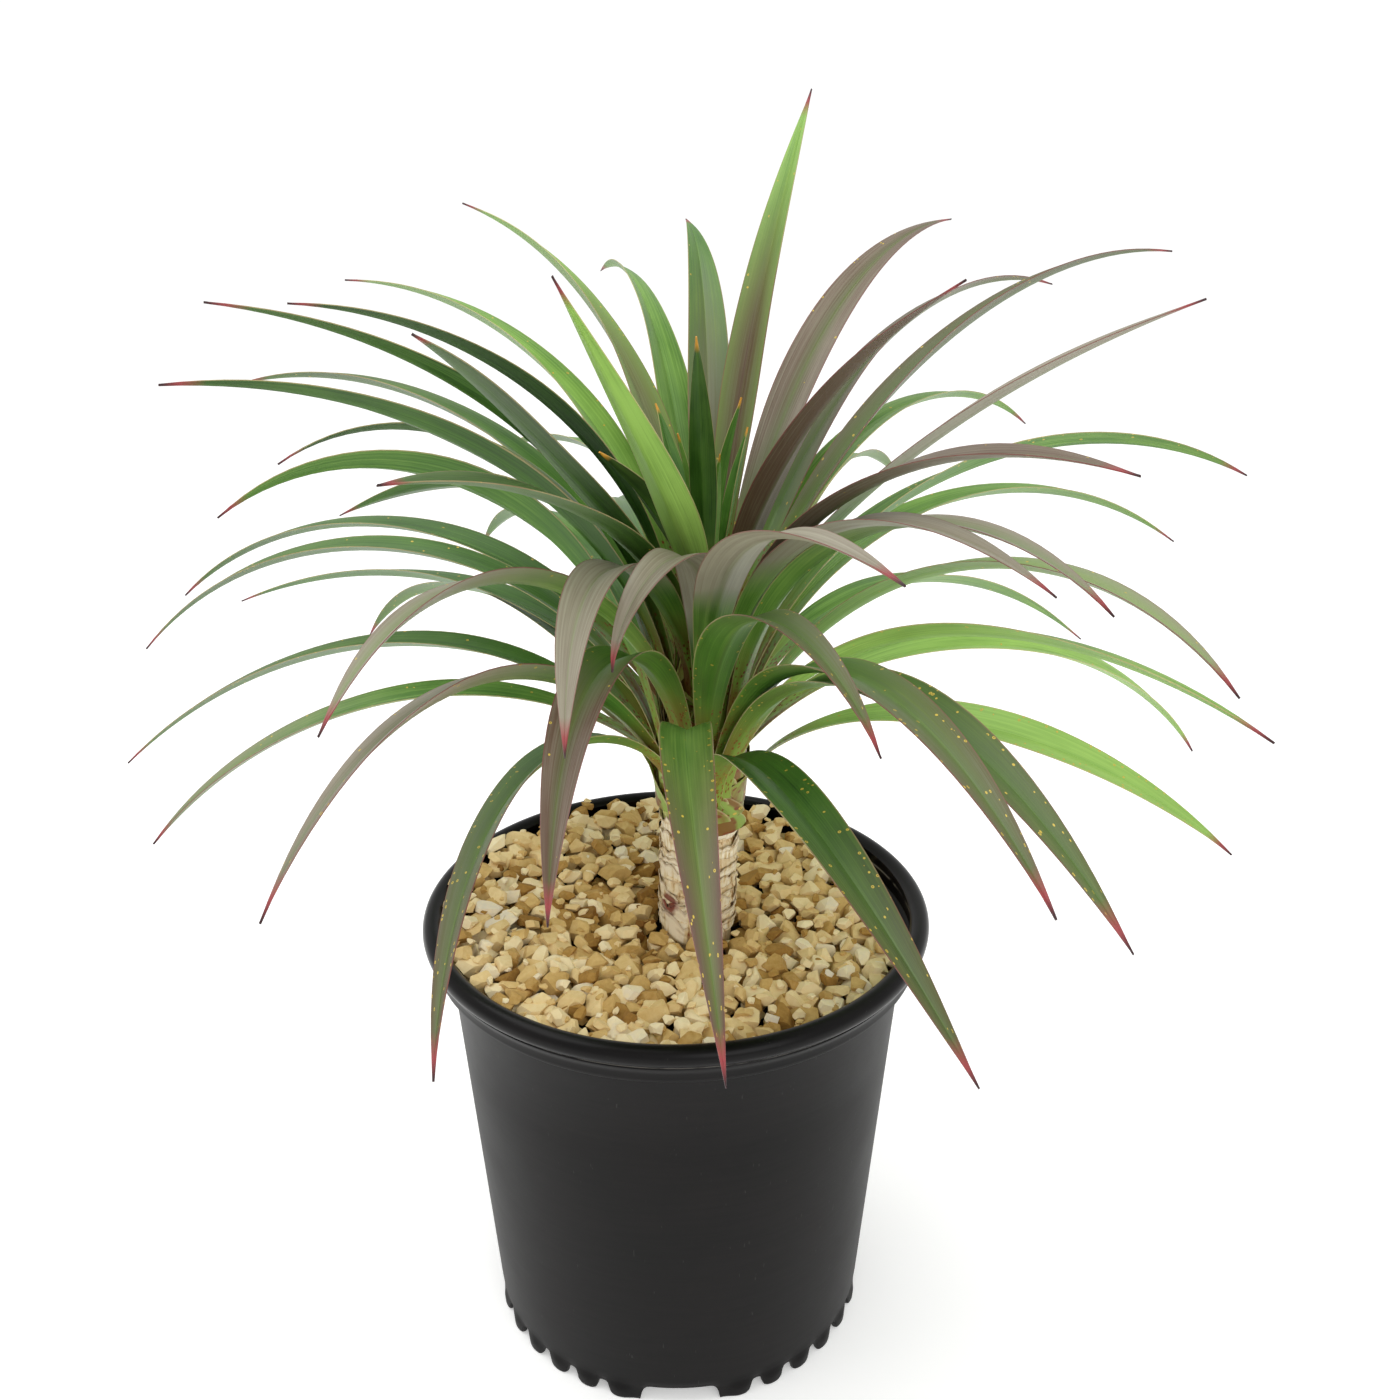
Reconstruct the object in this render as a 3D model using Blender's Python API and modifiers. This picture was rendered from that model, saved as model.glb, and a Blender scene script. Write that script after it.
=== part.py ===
# Potted yucca: a ringed stem with a crown of sword leaves, in a black nursery pot topped with gravel.
# Metres, +Z up. The origin is on the ground under the middle of the pot, and the front faces -Y.

import math
import random

import bmesh
import bpy
from mathutils import Euler, Vector

# Driving dimensions of the pot
POT_HEIGHT = 0.2135
RIM_RADIUS = 0.1150
BEAD_RADIUS = 0.0046
BAND_RADIUS = 0.1105
BAND_BOTTOM = 0.1955
BAND_STEP = 0.0010
WALL_TOP_RADIUS = 0.1036
FOOT_RADIUS = 0.0890
WALL = 0.0024
FLOOR_BOTTOM = 0.0095
FLOOR_TOP = 0.0122
POT_STEPS = 56
NOTCH_HALF_ANGLE = 12.0
NOTCH_HEIGHT = 0.0088
ARCHES_PER_QUARTER = 5
ARCH_PITCH = 10.75
ARCH_RADIUS = 0.0036
ARCH_STEPS = 14
CUTTER_DEPTH = 0.0200
FOOT_DRAFT = 0.0006

# Driving dimensions of the filling
MIX_TOP = 0.1882
BED_TOP = 0.1990
STONE_COUNT = 88
STONE_SIZE = 0.0102
STONE_MARGIN = 1.35
STEM_CLEARANCE = 0.45

# Driving dimensions of the stem
STEM_OFFSET = 0.0030
STEM_LEAN = 1.75
STEM_RADIUS = 0.0165
ROOT_RADIUS = 0.0158
STEM_BOTTOM = 0.1300
RING_START = 0.2030
RING_PITCH = 0.0068
RING_COUNT = 8
RING_HEIGHT = 0.0007
RING_LIP = 0.0012
RING_TOP = 0.0055
STEM_STEPS = 20
HOLE_DEPTH = 0.1600

# The crown's outline above the rings, as radius and height, from the growing point down
CROWN = [
    (0.0, 0.3540),
    (0.0050, 0.3530),
    (0.0080, 0.3440),
    (0.0110, 0.3300),
    (0.0145, 0.3120),
    (0.0175, 0.2960),
    (0.0190, 0.2800),
    (0.0185, 0.2680),
    (STEM_RADIUS, 0.2584),
]

# Driving dimensions of the leaves
BLADE_THICKNESS = 0.0009
BLADE_STEPS = 11
NECK_SHARE = 0.40
WIDEST_AT = 0.46
TIP_SHARE = 0.05
CHANNEL = 0.22

# Touching pieces keep this gap
GAP = 0.0003

# Each leaf: name, bearing, rise at its base, fall at its tip, arch, sway, length, width, height of its base.
# Bearings are in degrees from +X, and rise, fall and sway in degrees. Lengths and heights are in millimetres.
# An arch over 1 keeps the bend for the outer half, and one under 1 bends the leaf near its base.
LEAVES = [
    ("leaf_left_01", 122, 82, 13, 1.05, 35, 242, 21, 338),
    ("leaf_left_02", 258, 41, 52, 1.25, -32, 222, 18, 352),
    ("leaf_left_03", 139, 85, -3, 0.90, 23, 260, 22, 328),
    ("leaf_left_04", 210, 82, 10, 0.97, -3, 266, 21, 318),
    ("leaf_left_05", 194, 84, 3, 1.10, -8, 228, 21, 337),
    ("leaf_left_06", 241, 48, 17, 1.45, 36, 272, 22, 349),
    ("leaf_left_07", 150, 71, -15, 0.90, 12, 274, 21, 321),
    ("leaf_left_08", 208, 84, 2, 0.85, 0, 268, 21, 312),
    ("leaf_left_09", 180, 84, -35, 1.55, 12, 236, 21, 301),
    ("leaf_left_10", 198, 78, -37, 1.60, -3, 250, 24, 294),
    ("leaf_left_11", 247, 65, 10, 0.55, 4, 268, 20, 340),
    ("leaf_left_12", 130, 80, -28, 0.52, 44, 262, 21, 316),
    ("leaf_left_13", 152, 44, -43, 1.15, 24, 290, 22, 308),
    ("leaf_left_14", 170, 80, -49, 0.80, 2, 290, 22, 290),
    ("leaf_left_15", 140, 34, -25, 0.80, 30, 290, 21, 296),
    ("leaf_left_16", 233, 69, -27, 0.98, 32, 264, 22, 308),
    ("leaf_left_17", 168, 84, -44, 0.50, 18, 288, 22, 276),
    ("leaf_left_18", 184, 44, -49, 0.82, 16, 243, 22, 288),
    ("leaf_left_19", 238, 55, -42, 1.38, 13, 288, 22, 281),
    ("leaf_left_20", 242, 79, -34, 0.55, 44, 270, 22, 274),
    ("leaf_left_21", 250, 84, -50, 0.85, 28, 250, 22, 290),
    ("leaf_left_22", 249, 77, -38, 0.90, 34, 236, 22, 324),
    ("leaf_left_23", 267, 68, -85, 2.60, -50, 190, 22, 309),
    ("leaf_front_01", 267, 60, -44, 1.05, 16, 290, 22, 274),
    ("leaf_front_02", 281, 84, -26, 0.50, 18, 288, 22, 266),
    ("leaf_right_01", 276, 55, -50, 2.35, 34, 242, 22, 292),
    ("leaf_right_02", 289, 69, -26, 0.85, -4, 302, 22, 283),
    ("leaf_right_03", 293, 82, -24, 0.66, -7, 320, 22, 271),
    ("leaf_right_05", 341, 84, -36, 0.44, -7, 226, 22, 278),
    ("leaf_right_06", 10, 51, -55, 0.82, 13, 257, 25, 292),
    ("leaf_right_07", 312, 64, -19, 0.92, 0, 272, 22, 290),
    ("leaf_right_08", 321, 63, -34, 1.30, -29, 268, 22, 300),
    ("leaf_right_09", 41, 84, -40, 0.45, -25, 267, 21, 292),
    ("leaf_right_10", 312, 82, -31, 1.15, -6, 246, 22, 303),
    ("leaf_right_11", 300, 84, -20, 0.95, 6, 242, 22, 311),
    ("leaf_right_12", 274, 68, 0, 0.85, 20, 312, 24, 303),
    ("leaf_right_13", 13, 75, -27, 0.90, -8, 280, 22, 310),
    ("leaf_right_14", 30, 73, -36, 0.80, -27, 280, 22, 300),
    ("leaf_right_15", 303, 81, -2, 0.80, 0, 270, 21, 318),
    ("leaf_right_16", 328, 70, 24, 0.75, 0, 250, 21, 328),
    ("leaf_right_17", 50, 63, -35, 1.20, -17, 280, 21, 314),
    ("leaf_right_18", 20, 64, -8, 1.55, 8, 282, 21, 336),
    ("leaf_right_19", 54, 50, -16, 1.90, -30, 310, 21, 326),
    ("leaf_right_20", 298, 81, 26, 0.75, 0, 234, 20, 336),
    ("leaf_right_21", 60, 61, -2, 1.45, -13, 290, 21, 334),
    ("leaf_top_01", 60, 84, 56, 0.80, -2, 224, 20, 350),
    ("leaf_top_02", 88, 80, 2, 1.50, 15, 220, 20, 346),
    ("leaf_top_03", 103, 76, -21, 1.45, 6, 258, 20, 334),
    ("leaf_back_01", 108, 80, -28, 0.70, 42, 275, 21, 300),
    ("leaf_back_02", 118, 58, -42, 1.00, 0, 270, 22, 282),
    ("leaf_back_03", 64, 60, -35, 1.00, 0, 280, 22, 296),
    ("leaf_back_04", 80, 50, -36, 1.00, 0, 280, 22, 284),
    ("leaf_back_05", 100, 46, -26, 1.00, 0, 280, 22, 278),
    ("leaf_back_06", 134, 48, -48, 1.00, 0, 270, 22, 274),
]

# The young leaves in the heart, with the same values
YOUNG_LEAVES = [
    (265, 72, 56, 1.00, 0, 135, 13),
    (325, 89, 73, 1.00, 0, 90, 11),
    (242, 67, 49, 1.00, 0, 105, 14),
    (245, 55, 37, 1.00, -20, 115, 18),
    (210, 87, 75, 1.00, 0, 75, 8),
    (285, 84, 70, 1.00, 0, 70, 8),
    (130, 76, 62, 1.00, 0, 85, 12),
    (20, 80, 76, 1.00, 0, 75, 11),
]
BUD_RADIUS = 0.0052
BUD_BOTTOM = 0.3545
BUD_TOP = 0.3780
BUD_STEPS = 16
HEART_SPREAD = 0.0020
HEART_LIFT = 0.0030


def clear_scene():
    for obj in list(bpy.data.objects):
        bpy.data.objects.remove(obj, do_unlink=True)


def new_collection(name):
    collection = bpy.data.collections.new(name)
    bpy.context.scene.collection.children.link(collection)
    return collection


def make_material(name, colour, roughness):
    material = bpy.data.materials.new(name)
    material.use_nodes = True
    shader = material.node_tree.nodes["Principled BSDF"]
    shader.inputs["Base Color"].default_value = (*colour, 1.0)
    shader.inputs["Roughness"].default_value = roughness
    shader.inputs["Metallic"].default_value = 0.0
    return material


def new_object(name, mesh, collection, material=None):
    obj = bpy.data.objects.new(name, mesh)
    collection.objects.link(obj)
    if material:
        mesh.materials.append(material)
    return obj


def hide_helper(obj):
    obj.hide_render = True
    obj.display_type = "WIRE"


def apply_modifiers(obj):
    """The object's mesh becomes what its modifiers make of it."""
    bpy.context.view_layer.update()
    graph = bpy.context.evaluated_depsgraph_get()
    mesh = bpy.data.meshes.new_from_object(obj.evaluated_get(graph))
    obj.modifiers.clear()
    obj.data = mesh


def join_by_union(obj, others, cutters):
    """One Boolean union with a collection of closed pieces, which are then removed."""
    modifier = obj.modifiers.new("union", "BOOLEAN")
    modifier.operation = "UNION"
    modifier.operand_type = "COLLECTION"
    modifier.collection = others
    modifier.solver = "MANIFOLD"
    apply_modifiers(obj)
    for other in list(others.objects):
        bpy.data.objects.remove(other, do_unlink=True)
    cutters.children.unlink(others)
    bpy.data.collections.remove(others)


def cut(obj, cutter):
    modifier = obj.modifiers.new("cut by " + cutter.name, "BOOLEAN")
    modifier.operation = "DIFFERENCE"
    modifier.object = cutter
    hide_helper(cutter)


def turned(name, profile, steps, collection, material):
    """A profile of (radius, height) points, from the top of the outer side down, turned about Z."""
    mesh = bpy.data.meshes.new(name)
    points = [(radius, 0.0, height) for radius, height in profile]
    edges = [(i, i + 1) for i in range(len(points) - 1)]
    mesh.from_pydata(points, edges, [])
    obj = new_object(name, mesh, collection, material)
    screw = obj.modifiers.new("turn", "SCREW")
    screw.axis = "Z"
    screw.steps = steps
    screw.render_steps = steps
    screw.use_merge_vertices = True
    screw.merge_threshold = 0.00001
    return obj


def inner_radius(height):
    """The radius of the pot's inner wall at a height, which steps out at the band."""
    if height > BAND_BOTTOM + WALL:
        return BAND_RADIUS - WALL
    share = (height - FLOOR_TOP) / (BAND_BOTTOM + WALL - FLOOR_TOP)
    return FOOT_RADIUS - WALL + share * (WALL_TOP_RADIUS - FOOT_RADIUS)


def pot_profile():
    """The inside of the pot, up and over the rolled bead, down the outside and in under the floor."""
    bead_middle = POT_HEIGHT - BEAD_RADIUS
    bead_centre = RIM_RADIUS - BEAD_RADIUS
    points = [
        (0.0, FLOOR_TOP),
        (inner_radius(FLOOR_TOP), FLOOR_TOP),
        (WALL_TOP_RADIUS - WALL, BAND_BOTTOM + WALL - BAND_STEP),
        (BAND_RADIUS - WALL, BAND_BOTTOM + WALL),
        (BAND_RADIUS - WALL, bead_middle - BEAD_RADIUS / 2),
    ]
    for angle in (150, 115, 80, 45, 15, -20, -55):
        turn = math.radians(angle)
        points.append(
            (bead_centre + BEAD_RADIUS * math.cos(turn), bead_middle + BEAD_RADIUS * math.sin(turn))
        )
    seam = bead_middle - BEAD_RADIUS
    points += [
        (BAND_RADIUS, seam),
        (BAND_RADIUS - 0.0005, BAND_BOTTOM),
        (WALL_TOP_RADIUS, BAND_BOTTOM - BAND_STEP),
        (FOOT_RADIUS + FOOT_DRAFT, FLOOR_BOTTOM),
        (FOOT_RADIUS, 0.0),
        (FOOT_RADIUS - WALL, 0.0),
        (FOOT_RADIUS - WALL, FLOOR_BOTTOM),
        (0.0, FLOOR_BOTTOM),
    ]
    return points


def radial_cutter(name, bearing, collection, width, height, round_top):
    """A bar lying across the foot ring at a bearing: round on top for an arch, square for a wide notch."""
    mesh = bpy.data.meshes.new(name)
    shape = bmesh.new()
    if round_top:
        bmesh.ops.create_cone(
            shape, cap_ends=True, segments=ARCH_STEPS,
            radius1=width / 2, radius2=width / 2, depth=CUTTER_DEPTH,
        )
        bmesh.ops.rotate(shape, verts=shape.verts, matrix=Euler((0, math.pi / 2, 0)).to_matrix())
        bmesh.ops.translate(shape, verts=shape.verts, vec=(FOOT_RADIUS, 0, height - width / 2))
    else:
        bmesh.ops.create_cube(shape, size=1.0)
        bmesh.ops.scale(shape, verts=shape.verts, vec=(CUTTER_DEPTH, width, 2 * height))
        bmesh.ops.translate(shape, verts=shape.verts, vec=(FOOT_RADIUS, 0, 0))
    bmesh.ops.rotate(
        shape, verts=shape.verts, matrix=Euler((0, 0, math.radians(bearing))).to_matrix()
    )
    shape.to_mesh(mesh)
    shape.free()
    return new_object(name, mesh, collection)


def build_pot(parts, cutters):
    black = make_material("black polypropylene", (0.016, 0.016, 0.017), 0.45)
    pot = turned("pot", pot_profile(), POT_STEPS, parts, black)
    foot_cutters = bpy.data.collections.new("foot cutters")
    cutters.children.link(foot_cutters)
    for quarter in range(4):
        middle = -90 + 90 * quarter
        notch_width = 2 * FOOT_RADIUS * math.sin(math.radians(NOTCH_HALF_ANGLE))
        notch = radial_cutter(
            f"notch {quarter}", middle, foot_cutters, notch_width, NOTCH_HEIGHT, False
        )
        hide_helper(notch)
        first = middle + 45 - ARCH_PITCH * (ARCHES_PER_QUARTER - 1) / 2
        for number in range(ARCHES_PER_QUARTER):
            arch = radial_cutter(
                f"arch {quarter}{number}",
                first + ARCH_PITCH * number,
                foot_cutters,
                2 * ARCH_RADIUS,
                2 * ARCH_RADIUS,
                True,
            )
            arch.location.z = -0.0002
            hide_helper(arch)
    modifier = pot.modifiers.new("foot notches", "BOOLEAN")
    modifier.operation = "DIFFERENCE"
    modifier.operand_type = "COLLECTION"
    modifier.collection = foot_cutters
    modifier.solver = "MANIFOLD"
    pot.data.shade_smooth()
    return pot


def stem_lean():
    return Euler((0.0, math.radians(STEM_LEAN), 0.0))


def stem_axis(height):
    """Where the middle of the leaning stem is at a height."""
    return Vector((STEM_OFFSET + height * math.tan(math.radians(STEM_LEAN)), 0.0, height))


def stem_hole(cutters):
    """A plain hole for the stem, with the same lean."""
    mesh = bpy.data.meshes.new("stem hole")
    shape = bmesh.new()
    radius = STEM_RADIUS + RING_HEIGHT + GAP
    bmesh.ops.create_cone(
        shape, cap_ends=True, segments=STEM_STEPS, radius1=radius, radius2=radius, depth=HOLE_DEPTH
    )
    bmesh.ops.translate(
        shape, verts=shape.verts, vec=(0, 0, STEM_BOTTOM - GAP + HOLE_DEPTH / 2)
    )
    shape.to_mesh(mesh)
    shape.free()
    hole = new_object("stem hole", mesh, cutters)
    hole.location = (STEM_OFFSET, 0.0, 0.0)
    hole.rotation_euler = stem_lean()
    return hole


def build_mix(parts, hole):
    soil = make_material("damp potting mix", (0.035, 0.024, 0.016), 0.95)
    bottom = FLOOR_TOP + GAP
    profile = [
        (0.0, MIX_TOP),
        (inner_radius(MIX_TOP) - GAP, MIX_TOP),
        (inner_radius(bottom) - GAP, bottom),
        (0.0, bottom),
    ]
    mix = turned("potting_mix", profile, POT_STEPS // 2, parts, soil)
    cut(mix, hole)
    return mix


def stone_places():
    """Places spread evenly over the bed in a sunflower spiral, clear of the wall and the stem."""
    edge = inner_radius(BED_TOP) - GAP - STONE_MARGIN * STONE_SIZE
    stem = stem_axis(BED_TOP)
    places = []
    for number in range(STONE_COUNT):
        radius = edge * math.sqrt((number + 0.5) / STONE_COUNT)
        angle = number * math.radians(137.508)
        place = Vector((radius * math.cos(angle), radius * math.sin(angle), BED_TOP))
        if (place - stem).length > STEM_RADIUS + STEM_CLEARANCE * STONE_SIZE:
            places.append(place)
    return places


def build_gravel(parts, cutters, hole):
    tan = make_material("crushed buff stone", (0.52, 0.40, 0.24), 0.85)
    bottom = MIX_TOP + GAP
    step = BAND_BOTTOM + WALL + 2 * GAP
    profile = [
        (0.0, BED_TOP),
        (BAND_RADIUS - WALL - 2 * GAP, BED_TOP),
        (BAND_RADIUS - WALL - 2 * GAP, step),
        (WALL_TOP_RADIUS - WALL - 2 * GAP, step - BAND_STEP),
        (inner_radius(bottom) - 2 * GAP, bottom),
        (0.0, bottom),
    ]
    gravel = turned("gravel", profile, POT_STEPS // 2, parts, tan)
    apply_modifiers(gravel)
    stones = bpy.data.collections.new("stones")
    cutters.children.link(stones)
    chance = random.Random(11)
    for number, place in enumerate(stone_places()):
        mesh = bpy.data.meshes.new(f"stone {number}")
        shape = bmesh.new()
        bmesh.ops.create_icosphere(shape, subdivisions=1, radius=STONE_SIZE)
        for corner in shape.verts:
            corner.co *= chance.uniform(0.80, 1.08)
        size = (chance.uniform(0.85, 1.05), chance.uniform(0.70, 0.95), chance.uniform(0.58, 0.72))
        bmesh.ops.scale(shape, verts=shape.verts, vec=size)
        turn = Euler((chance.uniform(-0.3, 0.3), chance.uniform(-0.3, 0.3), chance.uniform(0, 6.28)))
        bmesh.ops.rotate(shape, verts=shape.verts, matrix=turn.to_matrix())
        lift = chance.uniform(0.0012, 0.0030)
        bmesh.ops.translate(shape, verts=shape.verts, vec=place + Vector((0, 0, lift)))
        shape.to_mesh(mesh)
        shape.free()
        new_object(f"stone {number}", mesh, stones)
    join_by_union(gravel, stones, cutters)
    cut(gravel, hole)
    return gravel


def stem_profile():
    """The swollen crown, the ringed bare stem and the root end, from the top down."""
    rings = []
    for number in reversed(range(RING_COUNT)):
        foot = RING_START + RING_PITCH * number
        rings += [
            (STEM_RADIUS, foot + RING_TOP),
            (STEM_RADIUS + RING_HEIGHT, foot + RING_LIP),
            (STEM_RADIUS - RING_HEIGHT, foot),
        ]
    roots = [
        (ROOT_RADIUS, 0.1960),
        (ROOT_RADIUS, STEM_BOTTOM + 0.0050),
        (0.0110, STEM_BOTTOM),
        (0.0, STEM_BOTTOM),
    ]
    return CROWN + rings + roots


def build_stem(parts):
    bark = make_material("dry stem bark", (0.56, 0.47, 0.32), 0.8)
    stem = turned("trunk", stem_profile(), STEM_STEPS, parts, bark)
    stem.location = (STEM_OFFSET, 0.0, 0.0)
    stem.rotation_euler = stem_lean()
    stem.data.shade_smooth()
    return stem


def crown_radius(height):
    """The radius of the crown at a height, read from the stem's profile."""
    outline = [(z, r) for r, z in stem_profile()]
    for (upper, top_radius), (lower, low_radius) in zip(outline, outline[1:]):
        if lower <= height <= upper:
            share = (height - lower) / (upper - lower)
            return low_radius + share * (top_radius - low_radius)
    return STEM_RADIUS


def blade_width(share):
    """Half of a blade's breadth at a share of its length, where 1 is the widest."""
    if share < WIDEST_AT:
        rise = share / WIDEST_AT
        return NECK_SHARE + (1 - NECK_SHARE) * rise * rise * (3 - 2 * rise)
    fall = (share - WIDEST_AT) / (1 - WIDEST_AT)
    return max(TIP_SHARE, 1 - fall**1.9)


def blade_mesh(name, length, width):
    """A flat blank along +X, lance-shaped and folded a little along its middle."""
    mesh = bpy.data.meshes.new(name)
    shape = bmesh.new()
    bmesh.ops.create_grid(shape, x_segments=BLADE_STEPS, y_segments=2, size=0.5)
    for corner in shape.verts:
        share = corner.co.x + 0.5
        side = corner.co.y * width * blade_width(share)
        fold = CHANNEL * min(1.0, 0.25 + 3 * share)
        corner.co = (share * length, side, fold * abs(side))
    shape.to_mesh(mesh)
    shape.free()
    return mesh


def guide_curve(name, base, bearing, rise, fall, arch, sway, length, cutters):
    """The line that a leaf's middle follows, from its base, as a hidden guide."""
    curve = bpy.data.curves.new(name, "CURVE")
    curve.dimensions = "3D"
    curve.twist_mode = "Z_UP"
    spline = curve.splines.new("POLY")
    pieces = 2 * BLADE_STEPS
    spline.points.add(pieces)
    place = Vector(base)
    spline.points[0].co = (*place, 1.0)
    for number in range(pieces):
        share = (number + 0.5) / pieces
        slope = math.radians(rise + (fall - rise) * share**arch)
        heading = math.radians(bearing + sway * (share - 0.3))
        flat = math.cos(slope)
        step = Vector((math.cos(heading) * flat, math.sin(heading) * flat, math.sin(slope)))
        place = place + step * (length / pieces)
        spline.points[number + 1].co = (*place, 1.0)
    guide = bpy.data.objects.new(name, curve)
    cutters.objects.link(guide)
    hide_helper(guide)
    return guide


def build_leaf(name, base, bearing, rise, fall, arch, sway, length, width, parts, cutters, material):
    blank = blade_mesh(name, length, width)
    leaf = new_object(name, blank, parts, material)
    wall = leaf.modifiers.new("thickness", "SOLIDIFY")
    wall.thickness = BLADE_THICKNESS
    wall.offset = 0.0
    bend = leaf.modifiers.new("bend", "CURVE")
    bend.object = guide_curve(
        name + " guide", base, bearing, rise, fall, arch, sway, length, cutters
    )
    bend.deform_axis = "POS_X"
    leaf.data.shade_smooth()
    return leaf


def leaf_base(bearing, height):
    """A leaf starts just clear of the crown, at its bearing round the leaning stem."""
    turn = math.radians(bearing)
    reach = crown_radius(height) + GAP + BLADE_THICKNESS
    return stem_axis(height) + Vector((math.cos(turn), math.sin(turn), 0.0)) * reach


def build_leaves(parts, cutters):
    green = make_material("leaf green", (0.16, 0.27, 0.06), 0.45)
    for name, bearing, rise, fall, arch, sway, length, width, height in LEAVES:
        base = leaf_base(bearing, height / 1000)
        build_leaf(
            name, base, bearing, rise, fall, arch, sway,
            length / 1000, width / 1000, parts, cutters, green,
        )


def build_young_leaves(parts, cutters):
    fresh = make_material("young leaf green", (0.22, 0.32, 0.05), 0.45)
    profile = [(0.0, BUD_TOP), (BUD_RADIUS, BUD_TOP), (BUD_RADIUS, BUD_BOTTOM), (0.0, BUD_BOTTOM)]
    heart = turned("young_leaves", profile, BUD_STEPS, parts, fresh)
    apply_modifiers(heart)
    centre = stem_axis(BUD_BOTTOM)
    for corner in heart.data.vertices:
        corner.co += Vector((centre.x, 0.0, 0.0))
    blades = bpy.data.collections.new("young blades")
    cutters.children.link(blades)
    for number, (bearing, rise, fall, arch, sway, length, width) in enumerate(YOUNG_LEAVES):
        turn = math.radians(bearing)
        spread = Vector((math.cos(turn), math.sin(turn), 0.0)) * HEART_SPREAD
        base = centre + spread + Vector((0.0, 0.0, HEART_LIFT))
        blade = build_leaf(
            f"young blade {number}", base, bearing, rise, fall, arch, sway,
            length / 1000, width / 1000, blades, cutters, fresh,
        )
        apply_modifiers(blade)
    join_by_union(heart, blades, cutters)
    return heart


def main():
    clear_scene()
    parts = new_collection("potted yucca")
    cutters = new_collection("cutters and guides")
    hole = stem_hole(cutters)
    build_pot(parts, cutters)
    build_mix(parts, hole)
    build_gravel(parts, cutters, hole)
    build_stem(parts)
    build_leaves(parts, cutters)
    build_young_leaves(parts, cutters)


main()
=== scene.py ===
import math
import random

import bpy
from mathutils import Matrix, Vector, noise


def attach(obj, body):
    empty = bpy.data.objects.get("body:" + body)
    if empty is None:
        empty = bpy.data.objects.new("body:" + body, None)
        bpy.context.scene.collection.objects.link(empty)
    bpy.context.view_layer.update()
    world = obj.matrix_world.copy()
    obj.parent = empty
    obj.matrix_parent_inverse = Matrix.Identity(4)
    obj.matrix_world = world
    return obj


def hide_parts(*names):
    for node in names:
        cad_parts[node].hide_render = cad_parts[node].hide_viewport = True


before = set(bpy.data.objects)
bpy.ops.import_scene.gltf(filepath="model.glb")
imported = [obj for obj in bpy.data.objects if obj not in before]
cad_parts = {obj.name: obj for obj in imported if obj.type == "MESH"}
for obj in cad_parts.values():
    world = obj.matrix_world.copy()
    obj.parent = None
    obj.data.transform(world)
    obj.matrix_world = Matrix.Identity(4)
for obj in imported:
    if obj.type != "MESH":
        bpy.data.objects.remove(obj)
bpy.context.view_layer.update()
bpy.ops.object.select_all(action="DESELECT")
print("the packed plant is loaded")


# Small helpers for selecting, modifying and finishing a piece

def selectOnly(piece):
    bpy.ops.object.select_all(action="DESELECT")
    piece.select_set(True)
    bpy.context.view_layer.objects.active = piece


def applyModifier(piece, kind, settings):
    selectOnly(piece)
    bpy.ops.object.modifier_add(type=kind)
    modifier = piece.modifiers[-1]
    for name, value in settings.items():
        setattr(modifier, name, value)
    bpy.ops.object.modifier_apply(modifier=modifier.name)


def copyPiece(original, name):
    piece = original.copy()
    piece.data = original.data.copy()
    piece.name = name
    bpy.context.scene.collection.objects.link(piece)
    return piece


def joinPieces(pieces, name):
    bpy.ops.object.select_all(action="DESELECT")
    for piece in pieces:
        piece.select_set(True)
    bpy.context.view_layer.objects.active = pieces[0]
    bpy.ops.object.join()
    pieces[0].name = name
    return pieces[0]


def putInPlace(piece):
    selectOnly(piece)
    bpy.ops.object.transform_apply(location=True, rotation=True, scale=True)


def finishPiece(piece, materials, nodes=()):
    piece.data.materials.clear()
    for material in materials:
        piece.data.materials.append(material)
    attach(piece, "root")
    if nodes:
        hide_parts(*nodes)


def smoothShare(value):
    # an eased step from 0 to 1
    value = min(1.0, max(0.0, value))
    return value * value * (3 - 2 * value)


# Materials

def linearColour(hexCode):
    # an sRGB hex code as the linear colour that a shader socket takes
    channels = [int(hexCode[place:place + 2], 16) / 255 for place in (1, 3, 5)]
    return (*[c / 12.92 if c <= 0.04045 else ((c + 0.055) / 1.055) ** 2.4 for c in channels], 1.0)


def newMaterial(name):
    material = bpy.data.materials.new(name)
    material.use_nodes = True
    return material, material.node_tree.nodes["Principled BSDF"]


def addNode(material, kind, settings=None, links=None):
    # settings are the node's own values or unlinked sockets, links are sockets fed by other nodes
    tree = material.node_tree
    node = tree.nodes.new("ShaderNode" + kind)
    for name, value in (settings or {}).items():
        if name == "stops":
            while len(node.color_ramp.elements) < len(value):
                node.color_ramp.elements.new(0.5)
            for element, (place, colour) in zip(node.color_ramp.elements, value):
                element.position = place
                element.color = linearColour(colour)
        elif isinstance(name, str) and hasattr(node, name):
            setattr(node, name, value)
        else:
            sockets = [socket for socket in node.inputs if socket.enabled]
            socket = sockets[name] if isinstance(name, int) else next(s for s in sockets if s.name == name)
            socket.default_value = linearColour(value) if isinstance(value, str) else value
    for name, source in (links or {}).items():
        sockets = [socket for socket in node.inputs if socket.enabled]
        socket = sockets[name] if isinstance(name, int) else next(s for s in sockets if s.name == name)
        if isinstance(source, bpy.types.Node):
            source = next(output for output in source.outputs if output.enabled)
        tree.links.new(source, socket)
    return node


# The studio: pale floor, soft light and the photograph's camera

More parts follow.
